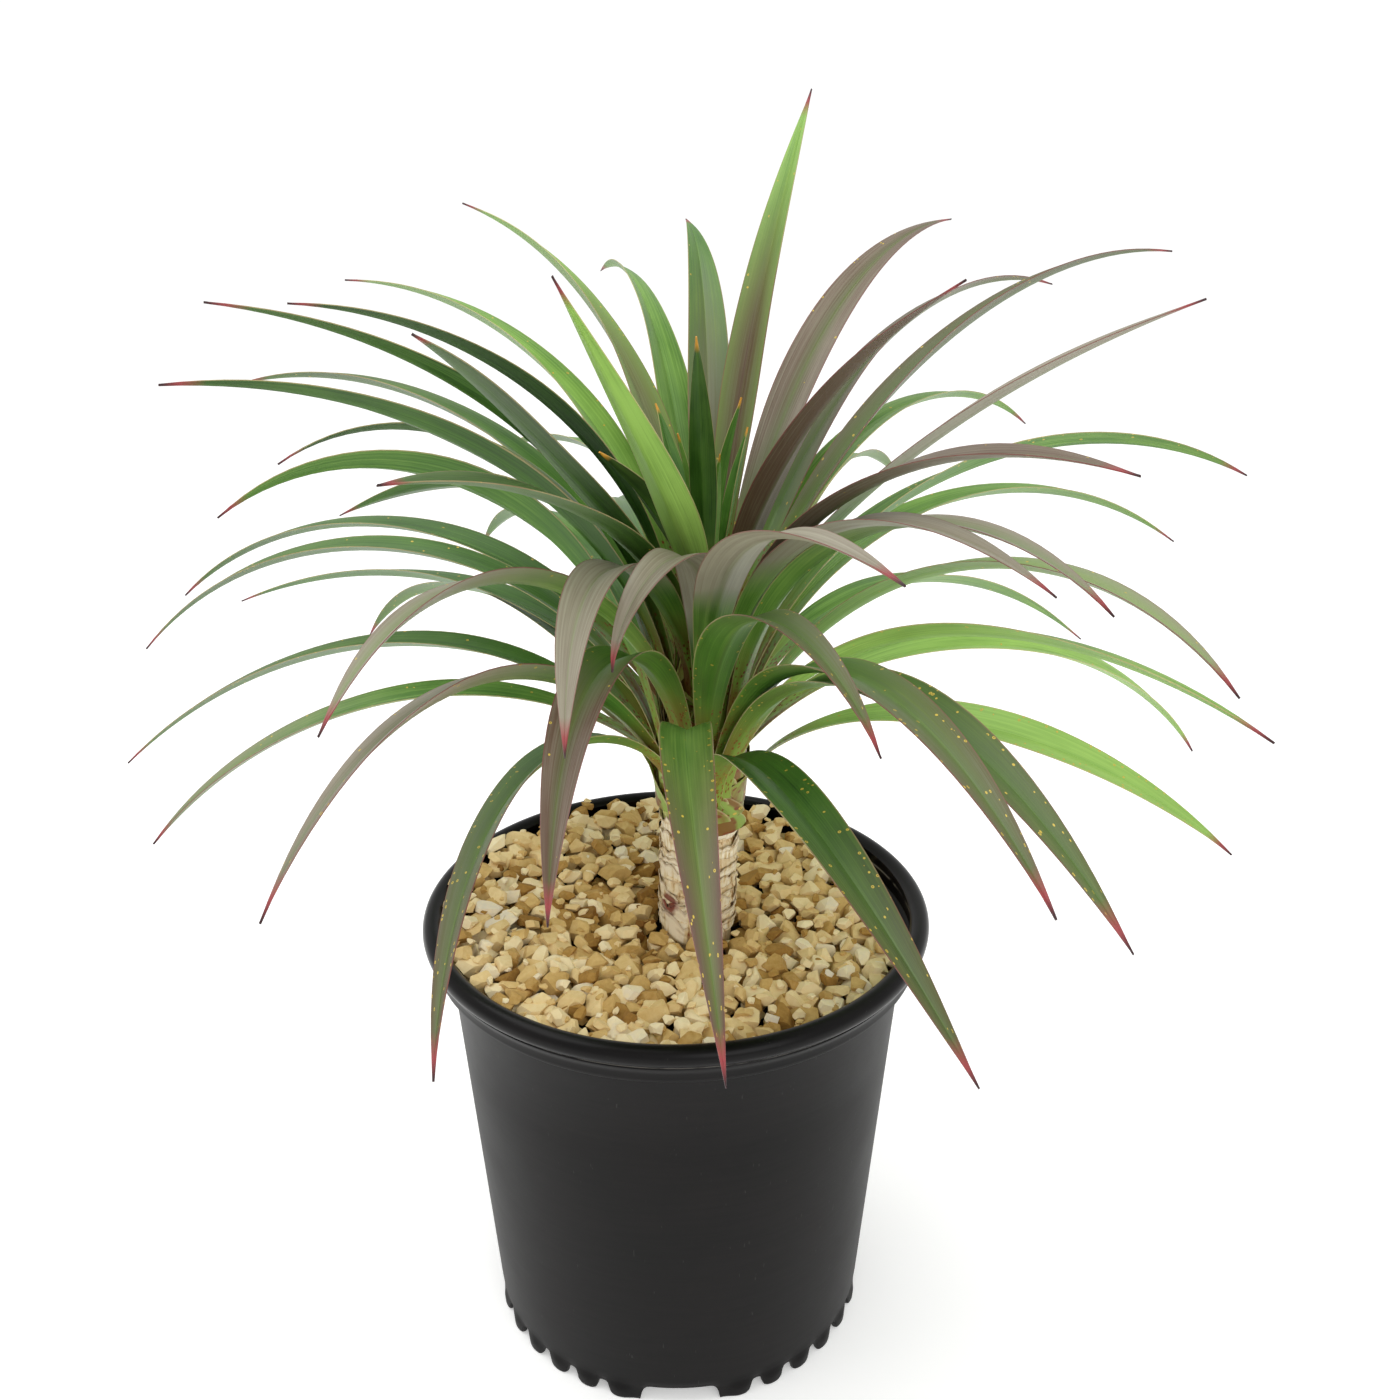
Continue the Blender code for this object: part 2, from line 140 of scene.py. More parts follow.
studio = {
    "lens": 38.57,  # mm on a 36 mm sensor
    "cameraPlace": (0.0, -0.5955, 0.5692),
    "cameraTurn": (66.75, 0.03, -1.06),
    "floorColour": "#f6f6f5",
    "floorGlow": 0.34,  # a white sweep lit from below its edges
    "skyColour": "#ffffff",
    "skyStrength": 0.80,
    "skySeen": 1.05,  # how bright the camera sees the backdrop
    "overheadWatts": 15.0,
    "frontWatts": 8.0,
}


def buildStudio(values):
    turn = [math.radians(angle) for angle in values["cameraTurn"]]
    bpy.ops.object.camera_add(location=values["cameraPlace"], rotation=turn)
    camera = bpy.context.active_object
    camera.data.lens = values["lens"]
    camera.data.clip_start = 0.01
    bpy.context.scene.camera = camera
    bpy.ops.object.light_add(type="AREA", location=(-0.5, 0.1, 1.7), rotation=(0.0, -0.28, 0.0))
    overhead = bpy.context.active_object
    overhead.data.size = 1.5
    overhead.data.energy = values["overheadWatts"]
    bpy.ops.object.light_add(type="AREA", location=(0.7, -1.5, 1.1), rotation=(1.05, 0.0, 0.42))
    front = bpy.context.active_object
    front.data.size = 1.2
    front.data.energy = values["frontWatts"]
    world = bpy.data.worlds.new("white studio")
    world.use_nodes = True
    sky = world.node_tree.nodes["Background"]
    sky.inputs["Color"].default_value = linearColour(values["skyColour"])
    rays = world.node_tree.nodes.new("ShaderNodeLightPath")
    glow = world.node_tree.nodes.new("ShaderNodeMath")
    glow.operation = "MULTIPLY_ADD"
    glow.inputs[1].default_value = values["skySeen"] - values["skyStrength"]
    glow.inputs[2].default_value = values["skyStrength"]
    world.node_tree.links.new(rays.outputs["Is Camera Ray"], glow.inputs[0])
    world.node_tree.links.new(glow.outputs[0], sky.inputs["Strength"])
    bpy.context.scene.world = world
    bpy.context.scene.view_settings.view_transform = "Standard"  # the photograph is a plain bright one
    bpy.ops.mesh.primitive_plane_add(size=14.0)
    floor = bpy.context.active_object
    floor.name = "studioFloor"
    paper, shader = newMaterial("matt white backdrop paper")
    shader.inputs["Base Color"].default_value = linearColour(values["floorColour"])
    shader.inputs["Roughness"].default_value = 0.9
    shader.inputs["Specular IOR Level"].default_value = 0.0
    shader.inputs["Emission Color"].default_value = linearColour(values["floorColour"])
    shader.inputs["Emission Strength"].default_value = values["floorGlow"]
    floor.data.materials.append(paper)


buildStudio(studio)
print("studio ready")


# The pot: blow-moulded polypropylene, with a rolled bead, a band under it and a scalloped foot

potShape = {
    "height": 213.5, "rim": 115.0, "bead": 4.6, "band": 110.5, "bandBottom": 195.5,
    "wallTop": 103.6, "foot": 89.0, "wall": 2.4, "floorBottom": 9.5, "floorTop": 12.2,
    "steps": 720,
    "notchHalfAngle": 12.0, "notchHeight": 8.8,
    "archPitch": 10.75, "archHalfAngle": 2.1, "archHeight": 6.6, "archesPerQuarter": 5,
    "tongueBulge": 1.3,
}


def innerRadius(height):
    # the pot's inner wall, in mm, which steps out at the band
    step = potShape["bandBottom"] + potShape["wall"]
    if height > step:
        return potShape["band"] - potShape["wall"]
    share = (height - potShape["floorTop"]) / (step - potShape["floorTop"])
    inside = potShape["foot"] - potShape["wall"]
    return inside + share * (potShape["wallTop"] - potShape["foot"])


def turnOutline(name, outline, steps):
    # one point is extruded along the outline, and the line is spun round Z
    bpy.ops.object.select_all(action="DESELECT")
    bpy.ops.mesh.primitive_plane_add(size=0.001)
    piece = bpy.context.active_object
    piece.name = name
    points = [Vector((radius / 1000, 0.0, height / 1000)) for radius, height in outline]
    bpy.ops.object.mode_set(mode="EDIT")
    bpy.ops.mesh.select_all(action="SELECT")
    bpy.ops.mesh.merge(type="CENTER")
    bpy.ops.transform.translate(value=points[0])
    for here, there in zip(points, points[1:]):
        bpy.ops.mesh.extrude_region_move(TRANSFORM_OT_translate={"value": there - here})
    bpy.ops.mesh.select_all(action="SELECT")
    bpy.ops.mesh.spin(steps=steps, angle=math.tau, center=(0, 0, 0), axis=(0, 0, 1))
    bpy.ops.mesh.select_all(action="SELECT")
    bpy.ops.mesh.remove_doubles(threshold=0.00002)
    bpy.ops.mesh.normals_make_consistent(inside=False)
    bpy.ops.object.mode_set(mode="OBJECT")
    return piece


def footEdge(bearing):
    # how high the foot's lower edge is at a bearing: four wide drain notches, arches between
    turned = (bearing + 90) % 90
    fromNotch = min(turned, 90 - turned)
    if fromNotch < potShape["notchHalfAngle"]:
        rest = fromNotch / potShape["notchHalfAngle"]
        return potShape["notchHeight"] * (1 - rest ** 14)
    first = 45 - potShape["archPitch"] * (potShape["archesPerQuarter"] - 1) / 2
    nearest = round((turned - first) / potShape["archPitch"])
    nearest = min(max(nearest, 0), potShape["archesPerQuarter"] - 1)
    off = abs(turned - first - nearest * potShape["archPitch"]) / potShape["archHalfAngle"]
    rounding = 1.5 * max(0.0, 1 - (off - 1) / 0.8) ** 2  # softened corners of each tongue
    return potShape["archHeight"] * (1 - off ** 4) ** 0.5 if off < 1 else rounding


def footBulge(bearing):
    # how far the foot stands out there, in mm: each tongue between two arches is rounded
    turned = (bearing + 90) % 90
    if min(turned, 90 - turned) < potShape["notchHalfAngle"]:
        return 0.0
    first = 45 - potShape["archPitch"] * (potShape["archesPerQuarter"] - 1) / 2
    return potShape["tongueBulge"] * math.sin(math.pi * (turned - first) / potShape["archPitch"]) ** 2


def makePotMaterial():
    plastic, shader = newMaterial("black blow-moulded polypropylene")
    # a satin charcoal wall with cloudy flow marks, a glossier rim and a pale scuffed seam under it
    place = addNode(plastic, "TexCoord")
    split = addNode(plastic, "SeparateXYZ", {}, {0: place.outputs["Object"]})
    clouds = addNode(plastic, "TexNoise", {"Scale": 24.0, "Detail": 5.0, "Roughness": 0.6},
                     {"Vector": place.outputs["Object"]})
    flat = addNode(plastic, "VectorMath", {"operation": "MULTIPLY", 1: (30.0, 30.0, 420.0)},
                   {0: place.outputs["Object"]})
    rings = addNode(plastic, "TexNoise", {"Scale": 1.0, "Detail": 2.0}, {"Vector": flat})
    tone = addNode(plastic, "Math", {"operation": "MULTIPLY_ADD", 1: 0.35}, {0: rings, 2: clouds})
    body = addNode(plastic, "ValToRGB", {"stops": [(0.50, "#080707"), (0.95, "#131010")]}, {0: tone})
    # fine dust marks and short scratches, about 1 mm wide
    scratchPlace = addNode(plastic, "VectorMath", {"operation": "MULTIPLY", 1: (900.0, 900.0, 160.0)},
                           {0: place.outputs["Object"]})
    scratch = addNode(plastic, "TexNoise", {"Scale": 1.0, "Detail": 1.0}, {"Vector": scratchPlace})
    marks = addNode(plastic, "ValToRGB", {"stops": [(0.76, "#000000"), (0.80, "#ffffff")]}, {0: scratch})
    dusty = addNode(plastic, "Math", {"operation": "MULTIPLY", 1: 0.35}, {0: marks})
    worn = addNode(plastic, "Mix", {"data_type": "RGBA", "B": "#3f3e3c"}, {"Factor": dusty, "A": body})
    # the seam is a broken pale line a millimetre high
    fromSeam = addNode(plastic, "Math", {"operation": "SUBTRACT", 1: 0.20435}, {0: split.outputs[2]})
    seamGap = addNode(plastic, "Math", {"operation": "ABSOLUTE"}, {0: fromSeam})
    seam = addNode(plastic, "MapRange", {"From Min": 0.0002, "From Max": 0.0007, "To Min": 1.0, "To Max": 0.0},
                   {"Value": seamGap})
    breaks = addNode(plastic, "TexNoise", {"Scale": 90.0, "Detail": 3.0}, {"Vector": place.outputs["Object"]})
    broken = addNode(plastic, "ValToRGB", {"stops": [(0.38, "#000000"), (0.54, "#ffffff")]}, {0: breaks})
    line = addNode(plastic, "Math", {"operation": "MULTIPLY"}, {0: seam, 1: broken})
    colour = addNode(plastic, "Mix", {"data_type": "RGBA", "B": "#85817a"}, {"Factor": line, "A": worn})
    plastic.node_tree.links.new(colour.outputs[2], shader.inputs["Base Color"])
    # the bead was pressed against polished steel, so it is glossier than the wall
    upper = addNode(plastic, "MapRange", {"From Min": 0.1952, "From Max": 0.2052, "To Min": 0.40, "To Max": 0.22},
                    {"Value": split.outputs[2]})
    sheen = addNode(plastic, "Math", {"operation": "MULTIPLY_ADD", 1: 0.16}, {0: clouds, 2: upper})
    plastic.node_tree.links.new(sheen.outputs[0], shader.inputs["Roughness"])
    shader.inputs["IOR"].default_value = 1.49
    shader.inputs["Specular IOR Level"].default_value = 0.15
    bump = addNode(plastic, "Bump", {"Strength": 0.12, "Distance": 0.0006}, {"Height": tone})
    plastic.node_tree.links.new(bump.outputs[0], shader.inputs["Normal"])
    return plastic


def buildPot():
    middle = potShape["height"] - potShape["bead"]
    centre = potShape["rim"] - potShape["bead"]
    band, wallTop, foot = potShape["band"], potShape["wallTop"], potShape["foot"]
    wall, step = potShape["wall"], potShape["bandBottom"]
    outline = [(0.0, potShape["floorTop"]), (foot - wall - 3.0, potShape["floorTop"]),
               (innerRadius(14.0), 14.0), (innerRadius(100.0), 100.0),
               (wallTop - wall - 0.1, step + 0.2), (wallTop - wall + 0.6, step + 1.3),
               (band - wall - 1.2, step + 2.2), (band - wall - 0.1, step + 3.2), (band - wall, 206.0)]
    for angle in range(152, -58, -14):
        turn = math.radians(angle)
        outline.append((centre + potShape["bead"] * math.cos(turn), middle + potShape["bead"] * math.sin(turn)))
    # the band: a groove and a lip under the bead, a shallow waist and a rounded step in to the wall
    outline += [(band + 0.3, 204.6), (band + 1.1, 204.0), (band + 1.5, 203.3), (band + 1.3, 202.5),
                (band + 0.5, 201.4), (band, 199.8), (band, 197.6), (band - 0.2, 196.3),
                (band - 1.0, step), (wallTop + 2.2, step - 0.7), (wallTop + 0.8, step - 1.3),
                (wallTop, step - 2.8)]
    outline += [(foot + (wallTop - foot) * height / step + 0.1, height) for height in (150.0, 103.0, 56.0, 13.5)]
    outline.append((foot + 0.7, potShape["floorBottom"] + 0.1))
    skirt = [(foot + 0.55, 8.2), (foot + 0.4, 6.6), (foot + 0.3, 5.0), (foot + 0.2, 3.4), (foot + 0.1, 2.0),
             (foot, 0.9), (foot - 0.3, 0.25), (foot - 0.8, 0.0), (foot - 1.6, 0.0), (foot - 2.1, 0.25),
             (foot - wall, 0.9), (foot - wall, 3.4), (foot - wall, 6.6), (foot - wall, 9.5)]
    pot = turnOutline("potShell", outline + skirt + [(0.0, 9.5)], potShape["steps"])
    top = potShape["floorBottom"] / 1000
    for corner in pot.data.vertices:
        if corner.co.z < top - 0.0001 and corner.co.xy.length > 0.08:
            bearing = math.degrees(math.atan2(corner.co.y, corner.co.x))
            edge = footEdge(bearing) / 1000
            below = 1 - corner.co.z / top
            corner.co.z = edge + (top - edge) * corner.co.z / top
            corner.co.xy += corner.co.xy.normalized() * footBulge(bearing) / 1000 * smoothShare(2 * below)
    bpy.ops.object.shade_smooth_by_angle(angle=math.radians(40))
    finishPiece(pot, [makePotMaterial()], ["pot"])


buildPot()
print("pot turned and its foot scalloped")


# The filling: dark mix showing through a top dressing of crushed buff limestone

gravelBed = {
    "kinds": 10, "cuts": 11,
    "layers": [  # how many, smallest and largest half size in mm, how far the layer lies under the surface
        (330, 4.8, 7.0, 8.0),
        (300, 4.4, 8.2, 2.4),
        (230, 3.0, 6.0, 0.4),
        (320, 1.4, 2.8, 0.6),
    ],
    "level": 205.2,  # mm, beside the stem
    "heap": 12.0,  # how much higher it lies against the back and left wall
    "bareMiddle": 20.0, "bareHalf": 30.0, "bareInner": 86.0, "bareDrop": 8.0,
}
stemShape = {
    "offset": 3.0, "lean": 1.75, "radius": 16.5, "root": 15.8, "bottom": 130.0,
    "ringStart": 203.0, "ringPitch": 6.8, "rings": 8, "ringHeight": 0.7,
    "crown": [(0.0, 354.0), (5.0, 353.0), (8.0, 344.0), (11.0, 330.0), (14.5, 312.0),
              (17.5, 296.0), (19.0, 280.0), (18.5, 268.0), (16.5, 258.4)],
}


def stemAxis(height):
    # the middle of the leaning stem at a height in mm
    return Vector((stemShape["offset"] + height * math.tan(math.radians(stemShape["lean"])), 0.0, height))


def makeStoneKind(number, chance):
    # a ball cut flat all round, as crushed rock breaks: some dozens of faces, since it repeats so often
    bpy.ops.object.select_all(action="DESELECT")
    bpy.ops.mesh.primitive_ico_sphere_add(subdivisions=2, radius=1.0)
    stone = bpy.context.active_object
    bpy.ops.object.mode_set(mode="EDIT")
    for cut in range(gravelBed["cuts"]):
        # an even spread of directions over the ball, each jostled
        level = 1 - 2 * (cut + 0.5) / gravelBed["cuts"]
        turn = cut * 2.4 + number
        away = Vector((math.cos(turn), math.sin(turn), 0.0)) * math.sqrt(1 - level * level)
        away += Vector((chance.uniform(-0.5, 0.5), chance.uniform(-0.5, 0.5), level))
        away.normalize()
        bpy.ops.mesh.select_all(action="SELECT")
        bpy.ops.mesh.bisect(plane_co=away * chance.uniform(0.50, 0.82), plane_no=away,
                            use_fill=True, clear_outer=True)
    bpy.ops.mesh.select_all(action="SELECT")
    bpy.ops.mesh.dissolve_limited(angle_limit=math.radians(16))
    bpy.ops.object.mode_set(mode="OBJECT")
    stone.scale = (1.26, chance.uniform(0.84, 1.16), chance.uniform(0.62, 0.92))
    putInPlace(stone)
    bpy.ops.object.shade_smooth_by_angle(angle=math.radians(18))
    stone.data.attributes.new("stoneTone", "FLOAT", "POINT")
    return stone


def makeStoneMaterial():
    stone, shader = newMaterial("crushed buff limestone")
    # dry and matt, each stone its own shade from cream to ochre and brown, darker under the crown as painted
    # shadow, with dusty faces
    place = addNode(stone, "TexCoord")
    tone = addNode(stone, "Attribute", {"attribute_name": "stoneTone"})
    mottle = addNode(stone, "TexNoise", {"Scale": 420.0, "Detail": 6.0, "Roughness": 0.65},
                     {"Vector": place.outputs["Object"]})
    stain = addNode(stone, "TexNoise", {"Scale": 60.0, "Detail": 3.0}, {"Vector": place.outputs["Object"]})
    mixed = addNode(stone, "Math", {"operation": "MULTIPLY_ADD", 1: 0.22}, {0: mottle, 2: tone.outputs["Fac"]})
    shade = addNode(stone, "Math", {"operation": "MULTIPLY_ADD", 1: 0.20}, {0: stain, 2: mixed})
    colour = addNode(stone, "ValToRGB", {"stops": [
        (0.20, "#77501b"), (0.36, "#a98140"), (0.52, "#d0ae6e"), (0.70, "#e8ce98"),
        (0.88, "#f2e1b8"), (0.99, "#e2d5bf")]}, {0: shade})
    stone.node_tree.links.new(colour.outputs[0], shader.inputs["Base Color"])
    shader.inputs["Roughness"].default_value = 0.88
    shader.inputs["Specular IOR Level"].default_value = 0.3
    bump = addNode(stone, "Bump", {"Strength": 0.5, "Distance": 0.0005}, {"Height": mottle})
    stone.node_tree.links.new(bump.outputs[0], shader.inputs["Normal"])
    return stone


def makeSoilMaterial():
    soil, shader = newMaterial("damp peat and bark mix")
    # nearly black crumbs with a few brown fibres, and no shine
    place = addNode(soil, "TexCoord")
    crumbs = addNode(soil, "TexNoise", {"Scale": 260.0, "Detail": 8.0, "Roughness": 0.7},
                     {"Vector": place.outputs["Object"]})
    colour = addNode(soil, "ValToRGB", {"stops": [(0.38, "#140e0a"), (0.55, "#2b1d13"), (0.72, "#5a3d25")]},
                     {0: crumbs})
    soil.node_tree.links.new(colour.outputs[0], shader.inputs["Base Color"])
    shader.inputs["Roughness"].default_value = 0.95
    bump = addNode(soil, "Bump", {"Strength": 1.0, "Distance": 0.002}, {"Height": crumbs})
    soil.node_tree.links.new(bump.outputs[0], shader.inputs["Normal"])
    return soil


def offBare(place):
    # 0 in the middle of the hollow at the back right, 1 clear of it
    off = (math.degrees(math.atan2(place.y, place.x)) - gravelBed["bareMiddle"] + 180) % 360 - 180
    aside = min(1.0, abs(off) / gravelBed["bareHalf"])
    inside = min(1.0, max(0.0, (gravelBed["bareInner"] + 10 - place.xy.length) / 10))
    return max(aside * aside, inside)


def bedLevel(place):
    # the gravel's surface: heaped at the back and left, hollow at the back right
    out = place.xy.length / innerRadius(gravelBed["level"])
    side = 0.5 + 0.5 * (0.75 * place.y - 0.65 * place.x) / max(place.xy.length, 1.0)
    return gravelBed["level"] + gravelBed["heap"] * out * out * side - gravelBed["bareDrop"] * (1 - offBare(place))


def scatter(kinds, count, smallest, largest, depth, chance, level=None):
    # stones in a sunflower spiral, so they cover the bed evenly, each jostled a little
    stones = []
    for number in range(count):
        size = chance.uniform(smallest, largest)
        reach = math.sqrt((number + 0.5) / count) * (innerRadius(gravelBed["level"]) - 0.7 * size)
        bearing = number * math.radians(137.508)
        place = Vector((reach * math.cos(bearing), reach * math.sin(bearing), 0.0))
        place += Vector((chance.uniform(-2.0, 2.0), chance.uniform(-2.0, 2.0), 0.0))
        place.z = (level or bedLevel(place) - depth) + chance.uniform(-1.0, 1.0) - 0.35 * size
        edge = innerRadius(place.z) - 0.72 * size
        if place.xy.length > edge:
            place.xy = place.xy.normalized() * edge
        if level is None and offBare(place) < 0.35 and chance.random() > 0.45:
            continue
        if (place - stemAxis(place.z)).length < stemShape["radius"] + 0.7 * size:
            continue
        stone = copyPiece(kinds[number % len(kinds)], "stone")
        stone.rotation_euler = (chance.uniform(-0.5, 0.5), chance.uniform(-0.5, 0.5), chance.uniform(0, 6.28))
        stone.scale = (size / 1000,) * 3
        stone.location = place / 1000
        tone = chance.betavariate(2.4, 1.9) * 0.80
        # the middle of the bed, under the crown, is painted darker: a painted shadow of the crown
        tone -= 0.20 * max(0.0, 1 - place.xy.length / 75)
        stone.data.attributes["stoneTone"].data.foreach_set("value", [tone] * len(stone.data.vertices))
        stones.append(stone)
    return stones


def buildFilling():
    chance = random.Random(21)
    kinds = [makeStoneKind(number, chance) for number in range(gravelBed["kinds"])]
    stones = []
    for count, smallest, largest, depth in gravelBed["layers"]:
        stones += scatter(kinds, count, smallest, largest, depth, chance)
    gravel = joinPieces(stones, "crushedGravel")
    putInPlace(gravel)
    finishPiece(gravel, [makeStoneMaterial()], ["gravel"])
    soil = makeSoilMaterial()
    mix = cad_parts["potting_mix"]
    mix.data.materials.clear()
    mix.data.materials.append(soil)
    crumbs = scatter(kinds, 420, 1.4, 3.6, 0.0, chance, 190.4)
    crumbs = joinPieces(crumbs, "mixCrumbs")
    putInPlace(crumbs)
    finishPiece(crumbs, [soil])
    for kind in kinds:
        bpy.data.objects.remove(kind, do_unlink=True)


buildFilling()
print("gravel laid")


# The stem: pale bark with rings of old leaf scars, papery remains and a swollen green crown

scarValues = {
    "rows": 9, "perRow": 3, "start": 201.0, "pitch": 6.4, "plateHeight": 11.5,
    "bruise": (-2.4, -11.5, 218.0),  # mm, a dark mark low at the front left
}


def crownRadius(height):
    # radius of the stem's crown at a height, both in mm
    outline = stemShape["crown"]
    for (topRadius, upper), (lowRadius, lower) in zip(outline, outline[1:]):
        if lower <= height <= upper:
            return lowRadius + (height - lower) / (upper - lower) * (topRadius - lowRadius)
    return stemShape["radius"]


def makeBarkMaterial():
    bark, shader = newMaterial("pale corky stem with green crown")
    # cream cork below, drying to brown at the scars, and yellow-green sheaths with rusty freckles above
    place = addNode(bark, "TexCoord")
    split = addNode(bark, "SeparateXYZ", {}, {0: place.outputs["Object"]})
    tall = addNode(bark, "VectorMath", {"operation": "MULTIPLY", 1: (420.0, 420.0, 60.0)},
                   {0: place.outputs["Object"]})
    fibre = addNode(bark, "TexNoise", {"Scale": 1.0, "Detail": 5.0, "Roughness": 0.65}, {"Vector": tall})
    patch = addNode(bark, "TexNoise", {"Scale": 70.0, "Detail": 4.0}, {"Vector": place.outputs["Object"]})
    mixed = addNode(bark, "Math", {"operation": "MULTIPLY_ADD", 1: 0.55}, {0: patch, 2: fibre})
    cork = addNode(bark, "ValToRGB", {"stops": [
        (0.55, "#5f3b22"), (0.66, "#a9804f"), (0.76, "#dcc193"), (0.95, "#efe0c0")]}, {0: mixed})
    green = addNode(bark, "ValToRGB", {"stops": [
        (0.56, "#6f3d1c"), (0.66, "#94803a"), (0.74, "#a8b04e"), (0.95, "#c7c878")]}, {0: mixed})
    # the green starts about 260 mm up
    wobble = addNode(bark, "Math", {"operation": "MULTIPLY_ADD", 1: 0.014}, {0: patch, 2: split.outputs[2]})
    isCrown = addNode(bark, "MapRange", {"From Min": 0.262, "From Max": 0.270}, {"Value": wobble})
    colour = addNode(bark, "Mix", {"data_type": "RGBA"}, {"Factor": isCrown, "A": cork, "B": green})
    bark.node_tree.links.new(colour.outputs[2], shader.inputs["Base Color"])
    shader.inputs["Roughness"].default_value = 0.72
    bump = addNode(bark, "Bump", {"Strength": 0.6, "Distance": 0.0008}, {"Height": fibre})
    bark.node_tree.links.new(bump.outputs[0], shader.inputs["Normal"])
    return bark


def makePaperMaterial():
    paper, shader = newMaterial("dry papery leaf sheath")
    # thin, fibrous and matt: straw and off-white, torn brown along its free edge
    uv = addNode(paper, "UVMap")
    split = addNode(paper, "SeparateXYZ", {}, {0: uv})
    place = addNode(paper, "TexCoord")
    stretched = addNode(paper, "VectorMath", {"operation": "MULTIPLY", 1: (500.0, 500.0, 70.0)},
                        {0: place.outputs["Object"]})
    fibre = addNode(paper, "TexNoise", {"Scale": 1.0, "Detail": 4.0}, {"Vector": stretched})
    stain = addNode(paper, "TexNoise", {"Scale": 85.0, "Detail": 3.0}, {"Vector": place.outputs["Object"]})
    mixed = addNode(paper, "Math", {"operation": "MULTIPLY_ADD", 1: 0.8}, {0: stain, 2: fibre})
    base = addNode(paper, "ValToRGB", {"stops": [
        (0.62, "#7a2f1a"), (0.69, "#b08a5a"), (0.78, "#e2cb9c"), (0.95, "#f7ebd0")]}, {0: mixed})
    edge = addNode(paper, "MapRange", {"From Min": 0.80, "From Max": 1.0, "To Max": 0.6},
                   {"Value": split.outputs[1]})
    colour = addNode(paper, "Mix", {"data_type": "RGBA", "B": "#96714a"}, {"Factor": edge, "A": base})
    # one ragged red-brown bruise about 10 mm across
    bruise = Vector(scarValues["bruise"]) / 1000
    away = addNode(paper, "VectorMath", {"operation": "DISTANCE", 1: bruise}, {0: place.outputs["Object"]})
    ragged = addNode(paper, "Math", {"operation": "MULTIPLY_ADD", 1: 0.012}, {0: stain, 2: away})
    bruised = addNode(paper, "MapRange", {"From Min": 0.0108, "From Max": 0.0128, "To Min": 0.9, "To Max": 0.0},
                      {"Value": ragged})
    marked = addNode(paper, "Mix", {"data_type": "RGBA", "B": "#7a200e"}, {"Factor": bruised, "A": colour})
    paper.node_tree.links.new(marked.outputs[2], shader.inputs["Base Color"])
    shader.inputs["Roughness"].default_value = 0.8
    bump = addNode(paper, "Bump", {"Strength": 0.5, "Distance": 0.0004}, {"Height": fibre})
    paper.node_tree.links.new(bump.outputs[0], shader.inputs["Normal"])
    return paper


def buildStem():
    outline = list(stemShape["crown"][:-1])
    outline.append((16.5, 258.4))
    for number in reversed(range(stemShape["rings"])):
        foot = stemShape["ringStart"] + stemShape["ringPitch"] * number
        outline += [(16.5, foot + 5.5), (16.5, foot + 3.4), (17.2, foot + 1.2), (16.2, foot + 0.5), (15.8, foot)]
    outline += [(15.8, 196.0), (15.8, 135.0), (11.0, 130.0), (0.0, 130.0)]
    stem = turnOutline("ringedStem", outline, 72)
    for corner in stem.data.vertices:
        rough = noise.noise(corner.co * 130) * 0.0007 + noise.noise(corner.co * 420) * 0.0003
        flat = Vector((corner.co.x, corner.co.y, 0.0))
        if flat.length > 0.004:
            corner.co += flat.normalized() * rough
    stem.location.x = stemShape["offset"] / 1000
    stem.rotation_euler.y = math.radians(stemShape["lean"])
    putInPlace(stem)
    bpy.ops.object.shade_smooth_by_angle(angle=math.radians(45))
    finishPiece(stem, [makeBarkMaterial()], ["trunk"])


def makeScar(blank, bearing, bottom, height, halfAngle, tilt, chance):
    # one papery remnant wrapped round the stem: tucked in below, free and ragged above
    plate = copyPiece(blank, "scar")
    ragged = [chance.uniform(0.6, 1.0) for step in range(16)]
    for corner in plate.data.vertices:
        across, up = corner.co.x * 2, corner.co.y + 0.5
        reach = ragged[int((across + 1) * 7.4)] if up > 0.5 else 1.0
        level = bottom + height * up * reach * (1 - 0.55 * across * across) + tilt * across
        angle = math.radians(bearing + halfAngle * across)
        out = crownRadius(level) + 0.25 + 0.8 * up * up + 0.3 * chance.random() * up
        corner.co = (stemAxis(level) + Vector((math.cos(angle) * out, math.sin(angle) * out, 0))) / 1000
    return plate


def buildScars(values):
    chance = random.Random(8)
    bpy.ops.object.select_all(action="DESELECT")
    bpy.ops.mesh.primitive_grid_add(x_subdivisions=16, y_subdivisions=8, size=1.0, calc_uvs=True)
    blank = bpy.context.active_object
    plates = []
    for row in range(values["rows"]):
        for number in range(values["perRow"]):
            bearing = row * 137.5 + number * 360 / values["perRow"] + chance.uniform(-16, 16)
            bottom = values["start"] + values["pitch"] * row + chance.uniform(-1.5, 1.5)
            height = values["plateHeight"] * chance.uniform(0.55, 1.25)
            plates.append(makeScar(blank, bearing, bottom, height, chance.uniform(46, 74),
                                   chance.uniform(-6.0, 6.0), chance))
    bpy.data.objects.remove(blank, do_unlink=True)
    scars = joinPieces(plates, "paperyScars")
    putInPlace(scars)
    applyModifier(scars, "SOLIDIFY", {"thickness": 0.0004, "offset": 1.0})
    bpy.ops.object.shade_smooth()
    finishPiece(scars, [makePaperMaterial()])


buildStem()
buildScars(scarValues)
print("stem and its papery scars done")


# The leaves: strap-shaped blades, each bent along its own guide from its node on the crown

bladeShape = {
    "thickness": 0.8, "neck": 0.40, "widestAt": 0.46,
    "fold": 23.0,  # degrees that each half rises from the midrib
    "sheath": 10.0,  # mm of clasping foot below the node
    "clasp": 66.0,  # degrees that half the foot wraps round the crown
    "rows": 50, "columns": 8,
}
